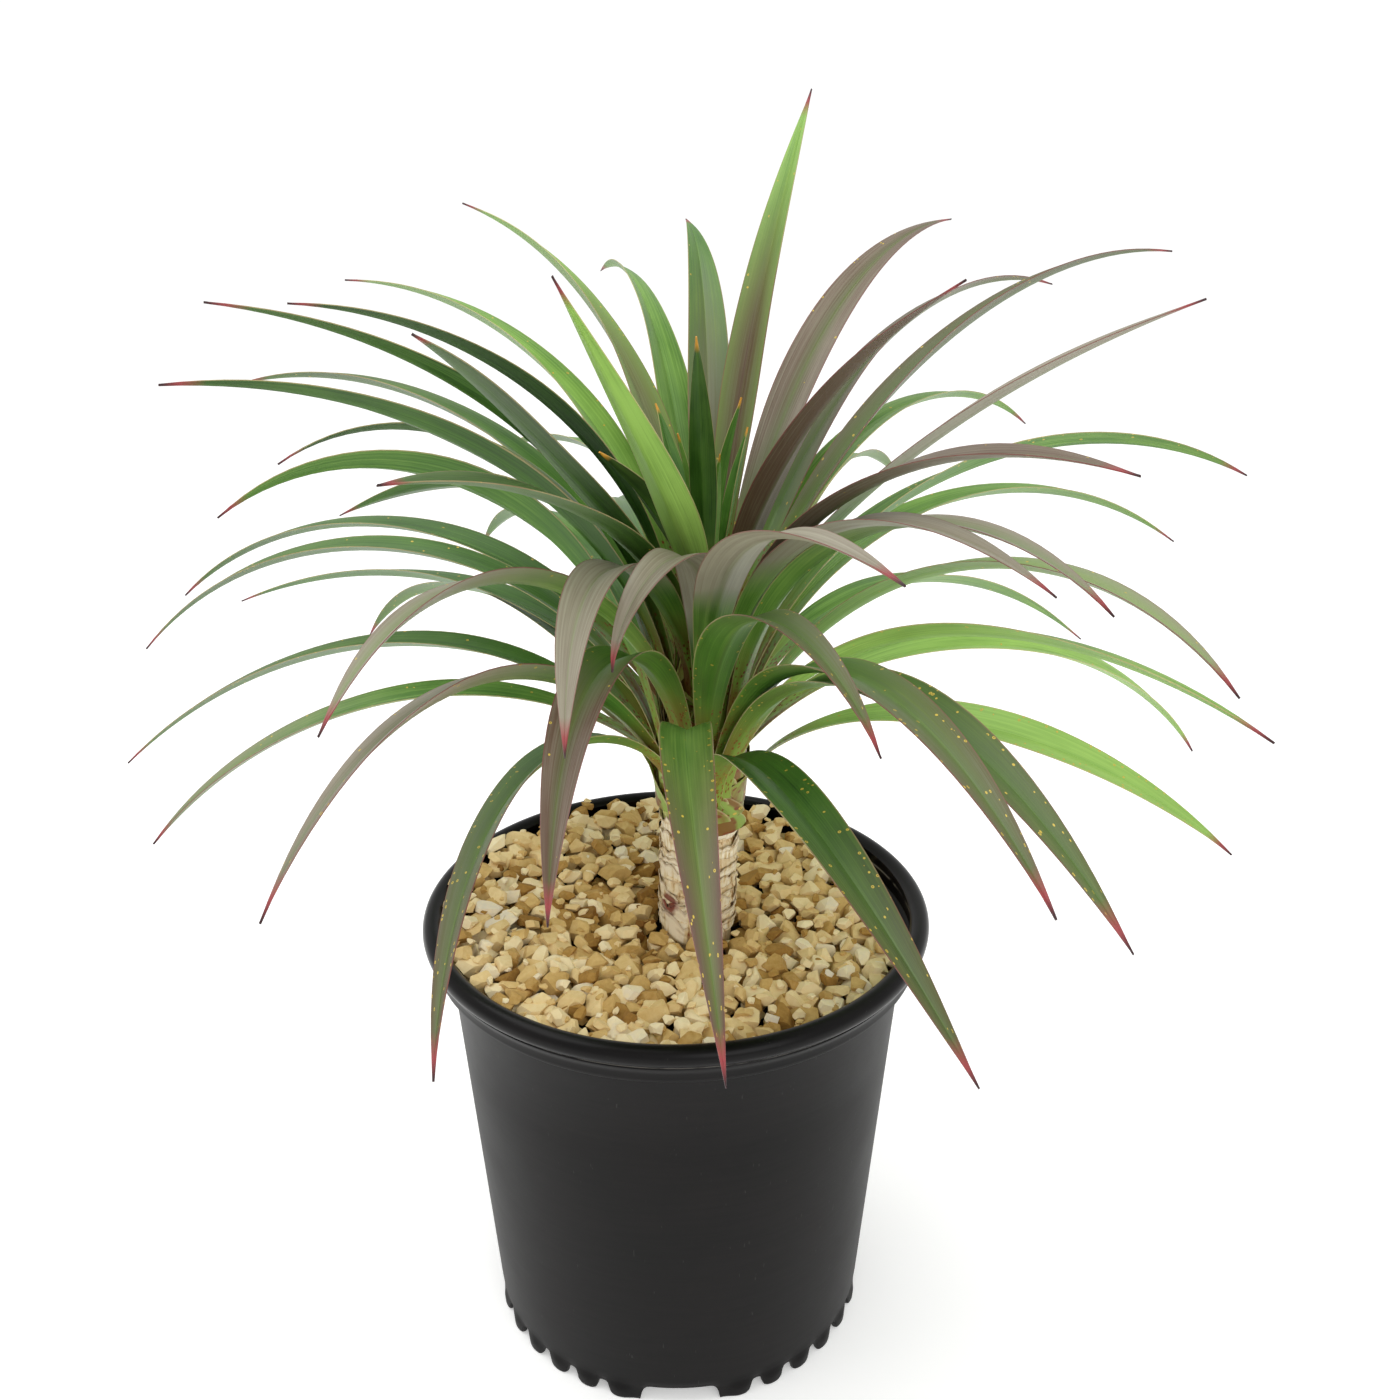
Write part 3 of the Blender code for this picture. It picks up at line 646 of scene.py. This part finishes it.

# bearing, rise, fall, arch, sway, length, width, height of the node in mm, twist of the outer half,
# then the purple flush and where it starts and ends along the blade, its brown, paleness and spots
# the paleness column is partly each leaf's own green and partly painted shade: it is low for leaves that lie in
# shadow
leafRows = {
    "leaf_left_01": (122, 82, 13, 1.05, 35, 242, 21, 338, 30, 0.75, 0.90, 0.45, 0.70, 0.80, 0.30),
    "leaf_left_02": (258, 41, 52, 1.25, -32, 222, 18, 352, -8, 0.00, 0.20, 0.80, 0.00, 0.95, 0.00),
    "leaf_left_03": (139, 85, -3, 0.90, 23, 260, 22, 328, 16, 0.05, 0.50, 1.00, 0.30, 0.70, 0.20),
    "leaf_left_04": (210, 82, 10, 0.97, -3, 266, 21, 318, 16, 0.10, 0.50, 1.00, 0.30, 0.22, 0.00),
    "leaf_left_05": (194, 84, 3, 1.10, -8, 228, 21, 337, 20, 0.03, 0.50, 1.00, 0.30, 0.12, 0.00),
    "leaf_left_06": (241, 48, 17, 1.45, 36, 272, 22, 349, -22, 0.15, 0.30, 0.80, 0.50, 0.15, 0.00),
    "leaf_left_07": (150, 71, -15, 0.90, 12, 274, 21, 321, 12, 0.20, 0.30, 0.80, 0.30, 0.30, 0.10),
    "leaf_left_08": (208, 84, 2, 0.85, 0, 268, 21, 312, 26, 0.05, 0.60, 1.00, 0.30, 0.20, 0.00),
    "leaf_left_09": (180, 84, -35, 1.55, 12, 236, 21, 301, 12, 0.05, 0.40, 0.90, 0.20, 0.15, 0.00),
    "leaf_left_10": (198, 78, -37, 1.60, -3, 250, 24, 294, 40, 0.05, 0.50, 1.00, 0.20, 0.42, 0.00),
    "leaf_left_11": (247, 65, 10, 0.55, 4, 268, 20, 340, -14, 0.20, 0.30, 0.80, 0.20, 0.25, 0.10),
    "leaf_left_12": (130, 80, -28, 0.52, 44, 262, 21, 316, 40, 0.05, 0.50, 1.00, 0.30, 0.28, 0.00),
    "leaf_left_13": (152, 44, -43, 1.15, 24, 290, 22, 308, 5, 0.12, 0.40, 0.90, 0.30, 0.30, 0.30),
    "leaf_left_14": (170, 80, -49, 0.80, 2, 290, 22, 290, 3, 0.20, 0.40, 0.90, 0.30, 0.30, 0.30),
    "leaf_left_15": (140, 34, -25, 0.80, 30, 290, 21, 296, 16, 0.05, 0.40, 0.90, 0.20, 0.35, 0.10),
    "leaf_left_16": (233, 69, -27, 0.98, 32, 264, 22, 308, 22, 1.00, 0.34, 0.68, 0.05, 0.58, 0.10),
    "leaf_left_17": (168, 84, -44, 0.50, 18, 288, 22, 276, 8, 0.25, 0.30, 0.90, 0.30, 0.35, 0.40),
    "leaf_left_18": (184, 44, -49, 0.82, 16, 243, 22, 288, 4, 0.70, 0.45, 0.85, 0.00, 0.50, 0.40),
    "leaf_left_19": (238, 55, -42, 1.38, 13, 288, 20, 281, 26, 1.10, 0.30, 0.70, 0.20, 0.30, 0.60),
    "leaf_left_20": (242, 79, -34, 0.55, 44, 270, 20, 274, 34, 0.85, 0.35, 0.95, 0.60, 0.35, 1.00),
    "leaf_left_21": (250, 84, -50, 0.85, 28, 250, 22, 290, 0, 1.20, 0.42, 0.78, 0.60, 0.34, 0.20),
    "leaf_left_22": (249, 77, -38, 0.90, 34, 236, 20, 324, 0, 1.60, 0.25, 0.50, 0.00, 0.45, 0.00),
    "leaf_left_23": (267, 68, -85, 2.60, -50, 190, 22, 309, 0, 1.60, 0.22, 0.48, 0.05, 0.40, 0.00),
    "leaf_front_01": (267, 60, -44, 1.05, 16, 290, 20, 274, 0, 1.00, 0.40, 0.85, 0.85, 0.56, 0.90),
    "leaf_front_02": (281, 84, -26, 0.50, 18, 288, 22, 266, 0, 0.70, 0.50, 1.00, 0.85, 0.24, 0.80),
    "leaf_right_01": (276, 55, -50, 2.35, 34, 242, 20, 292, 0, 0.75, 0.40, 0.95, 0.50, 0.38, 0.50),
    "leaf_right_02": (289, 69, -26, 0.85, -4, 302, 22, 283, 0, 0.75, 0.30, 0.90, 0.60, 0.40, 0.70),
    "leaf_right_03": (293, 82, -24, 0.66, -7, 320, 22, 271, 10, 0.55, 0.35, 0.95, 0.80, 0.36, 1.00),
    "leaf_right_05": (341, 84, -36, 0.44, -7, 226, 22, 278, 16, 0.15, 0.40, 1.00, 0.50, 0.90, 1.00),
    "leaf_right_06": (10, 51, -55, 0.82, 13, 257, 25, 292, 6, 0.00, 0.50, 1.00, 0.00, 0.90, 0.20),
    "leaf_right_07": (312, 64, -19, 0.92, 0, 272, 22, 290, -20, 0.10, 0.50, 1.00, 0.30, 0.75, 0.50),
    "leaf_right_08": (321, 63, -34, 1.30, -29, 268, 22, 300, -8, 0.80, 0.40, 0.90, 0.00, 0.75, 0.50),
    "leaf_right_09": (41, 84, -40, 0.45, -25, 267, 21, 292, -12, 0.00, 0.50, 1.00, 0.00, 0.60, 0.10),
    "leaf_right_10": (312, 82, -31, 1.15, -6, 246, 22, 303, -4, 1.00, 0.35, 0.75, 0.00, 0.60, 0.20),
    "leaf_right_11": (300, 84, -20, 0.95, 6, 242, 20, 311, 0, 1.60, 0.30, 0.50, 0.00, 0.55, 0.00),
    "leaf_right_12": (274, 68, 0, 0.85, 20, 312, 20, 303, 0, 2.20, 0.30, 0.48, 0.00, 0.50, 0.00),
    "leaf_right_13": (13, 75, -27, 0.90, -8, 280, 22, 310, -30, 0.10, 0.50, 1.00, 0.40, 0.50, 0.70),
    "leaf_right_14": (30, 73, -36, 0.80, -27, 280, 22, 300, -8, 0.05, 0.50, 1.00, 0.20, 0.60, 0.20),
    "leaf_right_15": (303, 81, -2, 0.80, 0, 270, 21, 318, 8, 1.40, 0.10, 0.45, 0.50, 0.35, 0.10),
    "leaf_right_16": (328, 70, 24, 0.75, 0, 250, 21, 328, 4, 1.30, 0.30, 0.60, 0.00, 0.45, 0.00),
    "leaf_right_17": (50, 63, -35, 1.20, -17, 280, 21, 314, -10, 0.05, 0.50, 1.00, 0.20, 0.60, 0.10),
    "leaf_right_18": (20, 64, -8, 1.55, 8, 282, 21, 336, -18, 0.70, 0.05, 0.35, 0.80, 0.35, 0.50),
    "leaf_right_19": (54, 50, -16, 1.90, -30, 310, 21, 326, -24, 0.90, 0.10, 0.50, 0.40, 0.35, 0.40),
    "leaf_right_20": (298, 81, 26, 0.75, 0, 234, 20, 336, 20, 1.60, 0.05, 0.30, 0.85, 0.20, 0.00),
    "leaf_right_21": (60, 61, -2, 1.45, -13, 290, 21, 334, 8, 1.20, 0.08, 0.40, 0.50, 0.38, 0.10),
    "leaf_top_01": (60, 84, 56, 0.80, -2, 224, 20, 350, -12, 0.95, 0.95, 0.50, 0.80, 0.72, 0.20),
    "leaf_top_02": (88, 80, 2, 1.50, 15, 220, 20, 346, 14, 1.10, 1.00, 0.10, 0.50, 0.40, 0.10),
    "leaf_top_03": (103, 76, -21, 1.45, 6, 258, 20, 334, 34, 0.00, 0.30, 0.80, 0.20, 0.60, 0.00),
    "leaf_back_01": (108, 80, -28, 0.70, 42, 275, 21, 300, 15, 0.05, 0.40, 0.90, 0.20, 0.50, 0.00),
    "leaf_back_02": (118, 58, -42, 1.00, 0, 270, 22, 282, 12, 0.15, 0.40, 0.90, 0.30, 0.40, 0.40),
    "leaf_back_03": (64, 60, -35, 1.00, 0, 280, 22, 296, -14, 0.30, 0.40, 0.90, 0.30, 0.50, 0.30),
    "leaf_back_04": (80, 50, -36, 1.00, 0, 280, 22, 284, 10, 0.25, 0.40, 0.90, 0.30, 0.35, 0.50),
    "leaf_back_05": (100, 46, -26, 1.00, 0, 280, 22, 278, -8, 0.15, 0.40, 0.90, 0.30, 0.30, 0.50),
    "leaf_back_06": (134, 48, -48, 1.00, 0, 270, 22, 274, 14, 0.30, 0.40, 0.90, 0.40, 0.45, 0.70),
}

# bearing, rise, fall, arch, sway, length, width, then flush and paleness
heartRows = [
    (265, 72, 56, 1.00, 0, 135, 13, 0.10, 0.22),
    (325, 89, 73, 1.00, 0, 90, 11, 0.00, 0.40),
    (242, 67, 49, 1.00, 0, 105, 14, 0.20, 0.10),
    (245, 55, 37, 1.00, -20, 115, 18, 0.20, 0.08),
    (210, 87, 75, 1.00, 0, 75, 8, 0.00, 0.60),
    (285, 84, 70, 1.00, 0, 70, 8, 0.00, 0.60),
    (130, 76, 62, 1.00, 0, 85, 12, 0.00, 0.40),
    (20, 80, 76, 1.00, 0, 75, 11, 0.00, 0.40),
]


def bladeWidth(share):
    # breadth along the blade, where 1 is the widest
    if share < bladeShape["widestAt"]:
        rise = max(0.0, share) / bladeShape["widestAt"]
        return bladeShape["neck"] + (1 - bladeShape["neck"]) * rise * rise * (3 - 2 * rise)
    fall = (share - bladeShape["widestAt"]) / (1 - bladeShape["widestAt"])
    return max(0.012, 1 - fall ** 1.9)


def makeBlank():
    # a flat strip, closer spaced near its foot, with a strip map that every blade keeps
    bpy.ops.object.select_all(action="DESELECT")
    bpy.ops.mesh.primitive_grid_add(x_subdivisions=bladeShape["rows"], y_subdivisions=bladeShape["columns"],
                                    size=1.0, calc_uvs=True)
    blank = bpy.context.active_object
    for corner in blank.data.vertices:
        corner.co.x = (corner.co.x + 0.5) ** 1.25 - 0.5
    for loop in blank.data.uv_layers[0].data:
        loop.uv.x = loop.uv.x ** 1.25
    wall = blank.vertex_groups.new(name="wall")
    for corner in blank.data.vertices:
        wall.add([corner.index], 1 - 0.8 * (2 * abs(corner.co.y)) ** 3, "REPLACE")
    return blank


def drawGuide(node, bearing, rise, fall, arch, sway, length, sheath):
    # the line that the blade's middle follows: up along the crown, then out and over
    curve = bpy.data.curves.new("guide", "CURVE")
    curve.dimensions = "3D"
    curve.twist_mode = "Z_UP"
    pieces = 44
    start = math.radians(bearing - 0.3 * sway)
    slope = math.radians(max(rise, 86))
    down = Vector((math.cos(start) * math.cos(slope), math.sin(start) * math.cos(slope), math.sin(slope)))
    places = [node - down * sheath, node - down * sheath / 2, node]
    for number in range(pieces):
        share = (number + 0.5) / pieces
        slope = math.radians(rise + (fall - rise) * share ** arch)
        heading = math.radians(bearing + sway * (share - 0.3))
        out = math.cos(slope)
        step = Vector((math.cos(heading) * out, math.sin(heading) * out, math.sin(slope)))
        places.append(places[-1] + step * length / pieces)
    spline = curve.splines.new("POLY")
    spline.points.add(len(places) - 1)
    for point, place in zip(spline.points, places):
        point.co = (*(place / 1000), 1.0)
    guide = bpy.data.objects.new("guide", curve)
    bpy.context.scene.collection.objects.link(guide)
    return guide


def bendBlade(blank, name, node, row, twist, radius, fold, sheath, chance):
    # the strip gets its outline, fold, twist and clasping foot, a wall, and its bend
    bearing, rise, fall, arch, sway, length, width = row
    blade = copyPiece(blank, name)
    twist = math.radians(twist)
    wave = chance.uniform(0, 6.28)
    clasp = math.radians(bladeShape["clasp"])
    for corner in blade.data.vertices:
        x = (corner.co.x + 0.5) * (length + sheath)
        side = corner.co.y
        share = (x - sheath) / length
        half = abs(side) * width * bladeWidth(share)
        foldAngle = math.radians(fold * min(1.0, 0.25 + 3 * max(share, 0)))
        # each half curls flatter towards its margin
        y = math.copysign(half * math.cos(foldAngle), side)
        z = half * math.sin(foldAngle) * (1.15 - 0.55 * abs(side))
        z += 0.35 * math.sin(9 * share + wave) * (2 * side) ** 2
        z -= 0.2 * width * bladeWidth(share) * math.sin(foldAngle)
        lean = twist * smoothShare((share - 0.15) / 0.5)
        y, z = y * math.cos(lean) - z * math.sin(lean), y * math.sin(lean) + z * math.cos(lean)
        if sheath and x < sheath + 9:
            close = 1 - x / (sheath + 9)
            close = close * close * (3 - 2 * close)
            angle = 2 * side * (clasp * close + (1 - close) * 0.5 * width * bladeShape["neck"] / radius)
            y = y + (radius * math.sin(angle) - y) * min(1, 2 * close)
            z = z + (radius * (1 - math.cos(angle)) - z) * min(1, 2 * close)
        corner.co = Vector((x, y, z)) / 1000
    applyModifier(blade, "SOLIDIFY", {"thickness": bladeShape["thickness"] / 1000, "offset": 0.0,
                                      "vertex_group": "wall", "thickness_vertex_group": 0.2})
    for face in blade.data.polygons:
        face.material_index = 0 if face.normal.z > 0 else 1
    guide = drawGuide(node, bearing, rise, fall, arch, sway, length, sheath)
    applyModifier(blade, "CURVE", {"object": guide, "deform_axis": "POS_X"})
    bpy.data.objects.remove(guide, do_unlink=True)
    return blade


def writeTone(blade, flush, start, end, brown, pale, spots, seed):
    # what the leaf materials read: how this one blade is coloured
    count = len(blade.data.vertices)
    for name, values in (("leafTone", (flush, pale, brown)), ("leafMarks", (start, end, spots)),
                         ("leafSeed", (seed, float(start > end), seed))):
        attribute = blade.data.attributes.new(name, "FLOAT_VECTOR", "POINT")
        attribute.data.foreach_set("vector", list(values) * count)


leafLooks = {
    "upper": {"dark": "#1f4010", "mid": "#4c7a26", "light": "#9ac45c", "rough": 0.42, "midribLineAndHighlight": 0.06},
    # the under side: greens darker than the upper side's, a painted shade for faces that lie in shadow, and a much
    # paler midrib, a painted highlight on the keel
    "under": {"dark": "#213c12", "mid": "#44682a", "light": "#7da84a", "rough": 0.50, "midribLineAndHighlight": 0.30},
    "grey": "#9f9a86",
    "brown": "#5b4533",
    "foot": "#93ab48",
    "rust": "#7c4218",
    "margin": "#7c3f3c",
    "marginPale": "#bfae7c",
    "tip": "#330d13",
    "tipRed": "#933a3c",
    "heartTip": "#d99a35",
    "spot": "#c9b044",
}


def makeLeafMaterial(name, side, flushShare, young):
    leaf, shader = newMaterial(name)
    look = leafLooks[side]
    # a waxy cuticle over green tissue: satin, finely ribbed along the blade, flushed purple by the sun
    uv = addNode(leaf, "UVMap")
    split = addNode(leaf, "SeparateXYZ", {}, {0: uv})
    along, across = split.outputs[0], split.outputs[1]
    tone = addNode(leaf, "Attribute", {"attribute_name": "leafTone"})
    toneSplit = addNode(leaf, "SeparateXYZ", {}, {0: tone.outputs["Vector"]})
    flush, pale, brown = toneSplit.outputs
    marks = addNode(leaf, "Attribute", {"attribute_name": "leafMarks"})
    markSplit = addNode(leaf, "SeparateXYZ", {}, {0: marks.outputs["Vector"]})
    start, end, spots = markSplit.outputs
    seed = addNode(leaf, "Attribute", {"attribute_name": "leafSeed"})
    seedSplit = addNode(leaf, "SeparateXYZ", {}, {0: seed.outputs["Vector"]})
    middle = seedSplit.outputs[1]
    # a strip map in mm, 270 long and 20 wide, shifted for each leaf
    strip = addNode(leaf, "VectorMath", {"operation": "MULTIPLY", 1: (270.0, 20.0, 0.0)}, {0: uv})
    shift = addNode(leaf, "VectorMath", {"operation": "SCALE", "Scale": 97.0}, {0: seed.outputs["Vector"]})
    place = addNode(leaf, "VectorMath", {"operation": "ADD"}, {0: strip, 1: shift})
    # ribs about 0.7 mm apart that run the length of the blade
    ribPlace = addNode(leaf, "VectorMath", {"operation": "MULTIPLY", 1: (0.012, 1.4, 1.0)}, {0: place})
    ribs = addNode(leaf, "TexNoise", {"Scale": 1.0, "Detail": 3.0, "Roughness": 0.6}, {"Vector": ribPlace})
    cloudPlace = addNode(leaf, "VectorMath", {"operation": "MULTIPLY", 1: (0.03, 0.13, 1.0)}, {0: place})
    clouds = addNode(leaf, "TexNoise", {"Scale": 1.0, "Detail": 3.0}, {"Vector": cloudPlace})
    offset = addNode(leaf, "Math", {"operation": "SUBTRACT", 1: 0.5}, {0: across})
    half = addNode(leaf, "Math", {"operation": "ABSOLUTE"}, {0: offset})
    edge = addNode(leaf, "Math", {"operation": "MULTIPLY", 1: 2.0}, {0: half})
    # green: darker or paler with the leaf's paleness (partly painted shade on the older leaves), the ribs and soft
    # patches
    ribTone = addNode(leaf, "Math", {"operation": "MULTIPLY_ADD", 1: 0.70, 2: -0.35}, {0: ribs})
    cloudTone = addNode(leaf, "Math", {"operation": "MULTIPLY_ADD", 1: 0.5, 2: -0.25}, {0: clouds})
    uneven = addNode(leaf, "Math", {"operation": "ADD"}, {0: ribTone, 1: cloudTone})
    greenTone = addNode(leaf, "Math", {"operation": "ADD", "use_clamp": True}, {0: pale, 1: uneven})
    green = addNode(leaf, "ValToRGB", {"stops": [(0.0, look["dark"]), (0.45, look["mid"]), (1.0, look["light"])]},
                    {0: greenTone})
    # the flush grows between its start and end, stronger towards the margins, or up the middle
    span = addNode(leaf, "MapRange", {"interpolation_type": "SMOOTHSTEP"},
                   {"Value": along, "From Min": start, "From Max": end})
    flip = addNode(leaf, "Math", {"operation": "MULTIPLY_ADD", 1: -2.0, 2: 1.0}, {0: middle})
    outward = addNode(leaf, "Math", {"operation": "MULTIPLY_ADD"}, {0: edge, 1: flip, 2: middle})
    edgeFlush = addNode(leaf, "Math", {"operation": "MULTIPLY_ADD", 1: 0.55, 2: 0.55}, {0: outward})
    flushSpan = addNode(leaf, "Math", {"operation": "MULTIPLY"}, {0: span, 1: edgeFlush})
    flushed = addNode(leaf, "Math", {"operation": "MULTIPLY"}, {0: flushSpan, 1: flush})
    patchy = addNode(leaf, "Math", {"operation": "MULTIPLY_ADD", 1: 0.8}, {0: uneven, 2: flushed})
    kept = addNode(leaf, "Math", {"operation": "MULTIPLY", "use_clamp": True}, {0: patchy, 1: flushed})
    square = addNode(leaf, "Math", {"operation": "POWER", 1: 0.5, "use_clamp": True}, {0: kept})
    amount = addNode(leaf, "Math", {"operation": "MULTIPLY", 1: flushShare}, {0: square})
    duller = addNode(leaf, "Math", {"operation": "MULTIPLY_ADD", 1: 0.35}, {0: along, 2: brown})
    streaks = addNode(leaf, "Math", {"operation": "MULTIPLY_ADD", 1: 1.6}, {0: ribTone, 2: duller})
    flushTone = addNode(leaf, "Math", {"operation": "MULTIPLY_ADD", 1: 0.8, "use_clamp": True},
                        {0: cloudTone, 2: streaks})
    flushColour = addNode(leaf, "Mix", {"data_type": "RGBA", "A": leafLooks["grey"], "B": leafLooks["brown"]},
                          {"Factor": flushTone})
    blended = addNode(leaf, "Mix", {"data_type": "RGBA"}, {"Factor": amount, "A": green, "B": flushColour})
    # the midrib is a paler line; underneath it is much paler, a painted highlight on the keel that stands out
    # there
    midribLineAndHighlight = addNode(leaf, "MapRange", {"From Min": 0.03, "From Max": 0.14, "To Min": look["midribLineAndHighlight"], "To Max": 0.0},
                  {"Value": edge})
    body = addNode(leaf, "Mix", {"data_type": "RGBA", "B": look["light"]}, {"Factor": midribLineAndHighlight, "A": blended})
    # the foot pales to yellow-green
    foot = addNode(leaf, "MapRange", {"From Min": 0.03, "From Max": 0.28, "To Min": 0.85, "To Max": 0.0},
                   {"Value": along})
    greenFoot = addNode(leaf, "Mix", {"data_type": "RGBA", "B": leafLooks["foot"]}, {"Factor": foot, "A": body})
    # and weathers to a rusty stain in patches where it clasps the stem
    stained = addNode(leaf, "MapRange", {"From Min": 0.46, "From Max": 0.55}, {"Value": clouds})
    stainZone = addNode(leaf, "MapRange", {"From Min": 0.08, "From Max": 0.24, "To Min": 0.85, "To Max": 0.0},
                        {"Value": along})
    stain = addNode(leaf, "Math", {"operation": "MULTIPLY"}, {0: stained, 1: stainZone})
    footed = addNode(leaf, "Mix", {"data_type": "RGBA", "B": leafLooks["rust"]}, {"Factor": stain, "A": greenFoot})
    # rusty freckles about 1 mm across near the foot
    freckles = addNode(leaf, "TexVoronoi", {"Scale": 0.36}, {"Vector": place})
    freckled = addNode(leaf, "MapRange", {"From Min": 0.24, "From Max": 0.38, "To Min": 1.0, "To Max": 0.0},
                       {"Value": freckles.outputs["Distance"]})
    freckleZone = addNode(leaf, "MapRange", {"From Min": 0.04, "From Max": 0.32, "To Min": 0.95, "To Max": 0.1},
                          {"Value": along})
    few = addNode(leaf, "Math", {"operation": "GREATER_THAN"}, {0: freckleZone, 1: clouds})
    freckle = addNode(leaf, "Math", {"operation": "MULTIPLY"}, {0: freckled, 1: few})
    rusty = addNode(leaf, "Mix", {"data_type": "RGBA", "B": leafLooks["rust"]}, {"Factor": freckle, "A": footed})
    # yellow ring spots about 1.5 mm across, mostly along the margins of older leaves
    cells = addNode(leaf, "TexVoronoi", {"Scale": 0.34}, {"Vector": place})
    cellSplit = addNode(leaf, "SeparateXYZ", {}, {0: cells.outputs["Color"]})
    atEdge = addNode(leaf, "MapRange", {"From Min": 0.45, "From Max": 0.85, "To Min": 0.08, "To Max": 0.90},
                     {"Value": edge})
    chosen = addNode(leaf, "Math", {"operation": "MULTIPLY"}, {0: atEdge, 1: spots})
    isSpot = addNode(leaf, "Math", {"operation": "LESS_THAN"}, {0: cellSplit.outputs[0], 1: chosen})
    ring = addNode(leaf, "ValToRGB", {"stops": [
        (0.0, "#9a5a20"), (0.07, "#9a5a20"), (0.10, "#ffffff"), (0.19, "#ffffff"), (0.24, "#000000")]},
        {0: cells.outputs["Distance"]})
    ringSplit = addNode(leaf, "SeparateXYZ", {}, {0: ring})
    ringed = addNode(leaf, "Math", {"operation": "MULTIPLY"}, {0: isSpot, 1: ringSplit.outputs[0]})
    spotTint = addNode(leaf, "Mix", {"data_type": "RGBA", "blend_type": "MULTIPLY", "Factor": 1.0,
                                     "B": leafLooks["spot"]}, {"A": ring})
    spotted = addNode(leaf, "Mix", {"data_type": "RGBA"}, {"Factor": ringed, "A": rusty, "B": spotTint})
    # a thin dry margin, pale or pink, and a dark sharp tip
    reddened = addNode(leaf, "Math", {"operation": "MULTIPLY_ADD", 1: 0.5}, {0: flushed, 2: cloudTone})
    marginTone = addNode(leaf, "MapRange", {"From Min": 0.0, "From Max": 0.25}, {"Value": reddened})
    marginColour = addNode(leaf, "Mix", {"data_type": "RGBA",
                                         "A": leafLooks["marginPale"],
                                         "B": leafLooks["marginPale" if young else "margin"]},
                           {"Factor": marginTone})
    margin = addNode(leaf, "MapRange", {"From Min": 0.94, "From Max": 0.99, "To Max": 0.70}, {"Value": edge})
    lined = addNode(leaf, "Mix", {"data_type": "RGBA"}, {"Factor": margin, "A": spotted, "B": marginColour})
    tip = addNode(leaf, "MapRange", {"From Min": 0.945, "From Max": 0.975}, {"Value": along})
    tipColour = addNode(leaf, "ValToRGB", {"stops": [
        (0.978, leafLooks["heartTip" if young else "tipRed"]),
        (0.996, leafLooks["heartTip" if young else "tip"])]}, {0: along})
    colour = addNode(leaf, "Mix", {"data_type": "RGBA"}, {"Factor": tip, "A": lined, "B": tipColour})
    leaf.node_tree.links.new(colour.outputs[2], shader.inputs["Base Color"])
    rough = addNode(leaf, "Math", {"operation": "MULTIPLY_ADD", 1: 0.2, 2: look["rough"] - 0.1}, {0: clouds})
    leaf.node_tree.links.new(rough.outputs[0], shader.inputs["Roughness"])
    shader.inputs["IOR"].default_value = 1.45
    bump = addNode(leaf, "Bump", {"Strength": 0.35, "Distance": 0.0003}, {"Height": ribs})
    leaf.node_tree.links.new(bump.outputs[0], shader.inputs["Normal"])
    return leaf


def buildLeaves():
    upper = makeLeafMaterial("waxy leaf, sun side", "upper", 1.0, False)
    # the under side material is painted darker as shade, with a painted highlight on the keel
    under = makeLeafMaterial("waxy leaf, under side, painted shade and keel highlight", "under", 0.15, False)
    blank = makeBlank()
    chance = random.Random(3)
    for number, (nodeName, row) in enumerate(leafRows.items()):
        shape, height, twist, look = row[:7], row[7], row[8], row[9:]
        radius = crownRadius(height) + 1.2
        turn = math.radians(shape[0])
        node = stemAxis(height) + Vector((math.cos(turn), math.sin(turn), 0.0)) * radius
        words = nodeName.split("_")
        blade = bendBlade(blank, "blade" + words[1].title() + words[2], node, shape, twist,
                          radius, bladeShape["fold"], bladeShape["sheath"], chance)
        writeTone(blade, *look, number / 10)
        bpy.ops.object.shade_smooth_by_angle(angle=math.radians(50))
        finishPiece(blade, [upper, under], [nodeName])
    print("leaves bent:", len(leafRows))
    fresh = makeLeafMaterial("young waxy leaf, inner side", "upper", 1.0, True)
    # the outer side of the young leaves is painted darker as shade, with a painted highlight on the keel
    freshUnder = makeLeafMaterial("young waxy leaf, outer side", "under", 0.5, True)
    spears = []
    for number, row in enumerate(heartRows):
        shape, (flush, pale) = row[:7], row[7:]
        turn = math.radians(shape[0])
        node = stemAxis(354.5) + Vector((math.cos(turn) * 2, math.sin(turn) * 2, 3.0))
        spear = bendBlade(blank, "spear", node, shape, 0.0, 6.0, 34.0, 0.0, chance)
        writeTone(spear, flush, 0.3, 0.9, 0.5, pale, 0.0, 7 + number / 10)
        bpy.ops.object.shade_smooth_by_angle(angle=math.radians(50))
        spears.append(spear)
    heart = joinPieces(spears, "heartSpears")
    finishPiece(heart, [fresh, freshUnder], ["young_leaves"])
    bpy.data.objects.remove(blank, do_unlink=True)


buildLeaves()
print("heart of young leaves done")
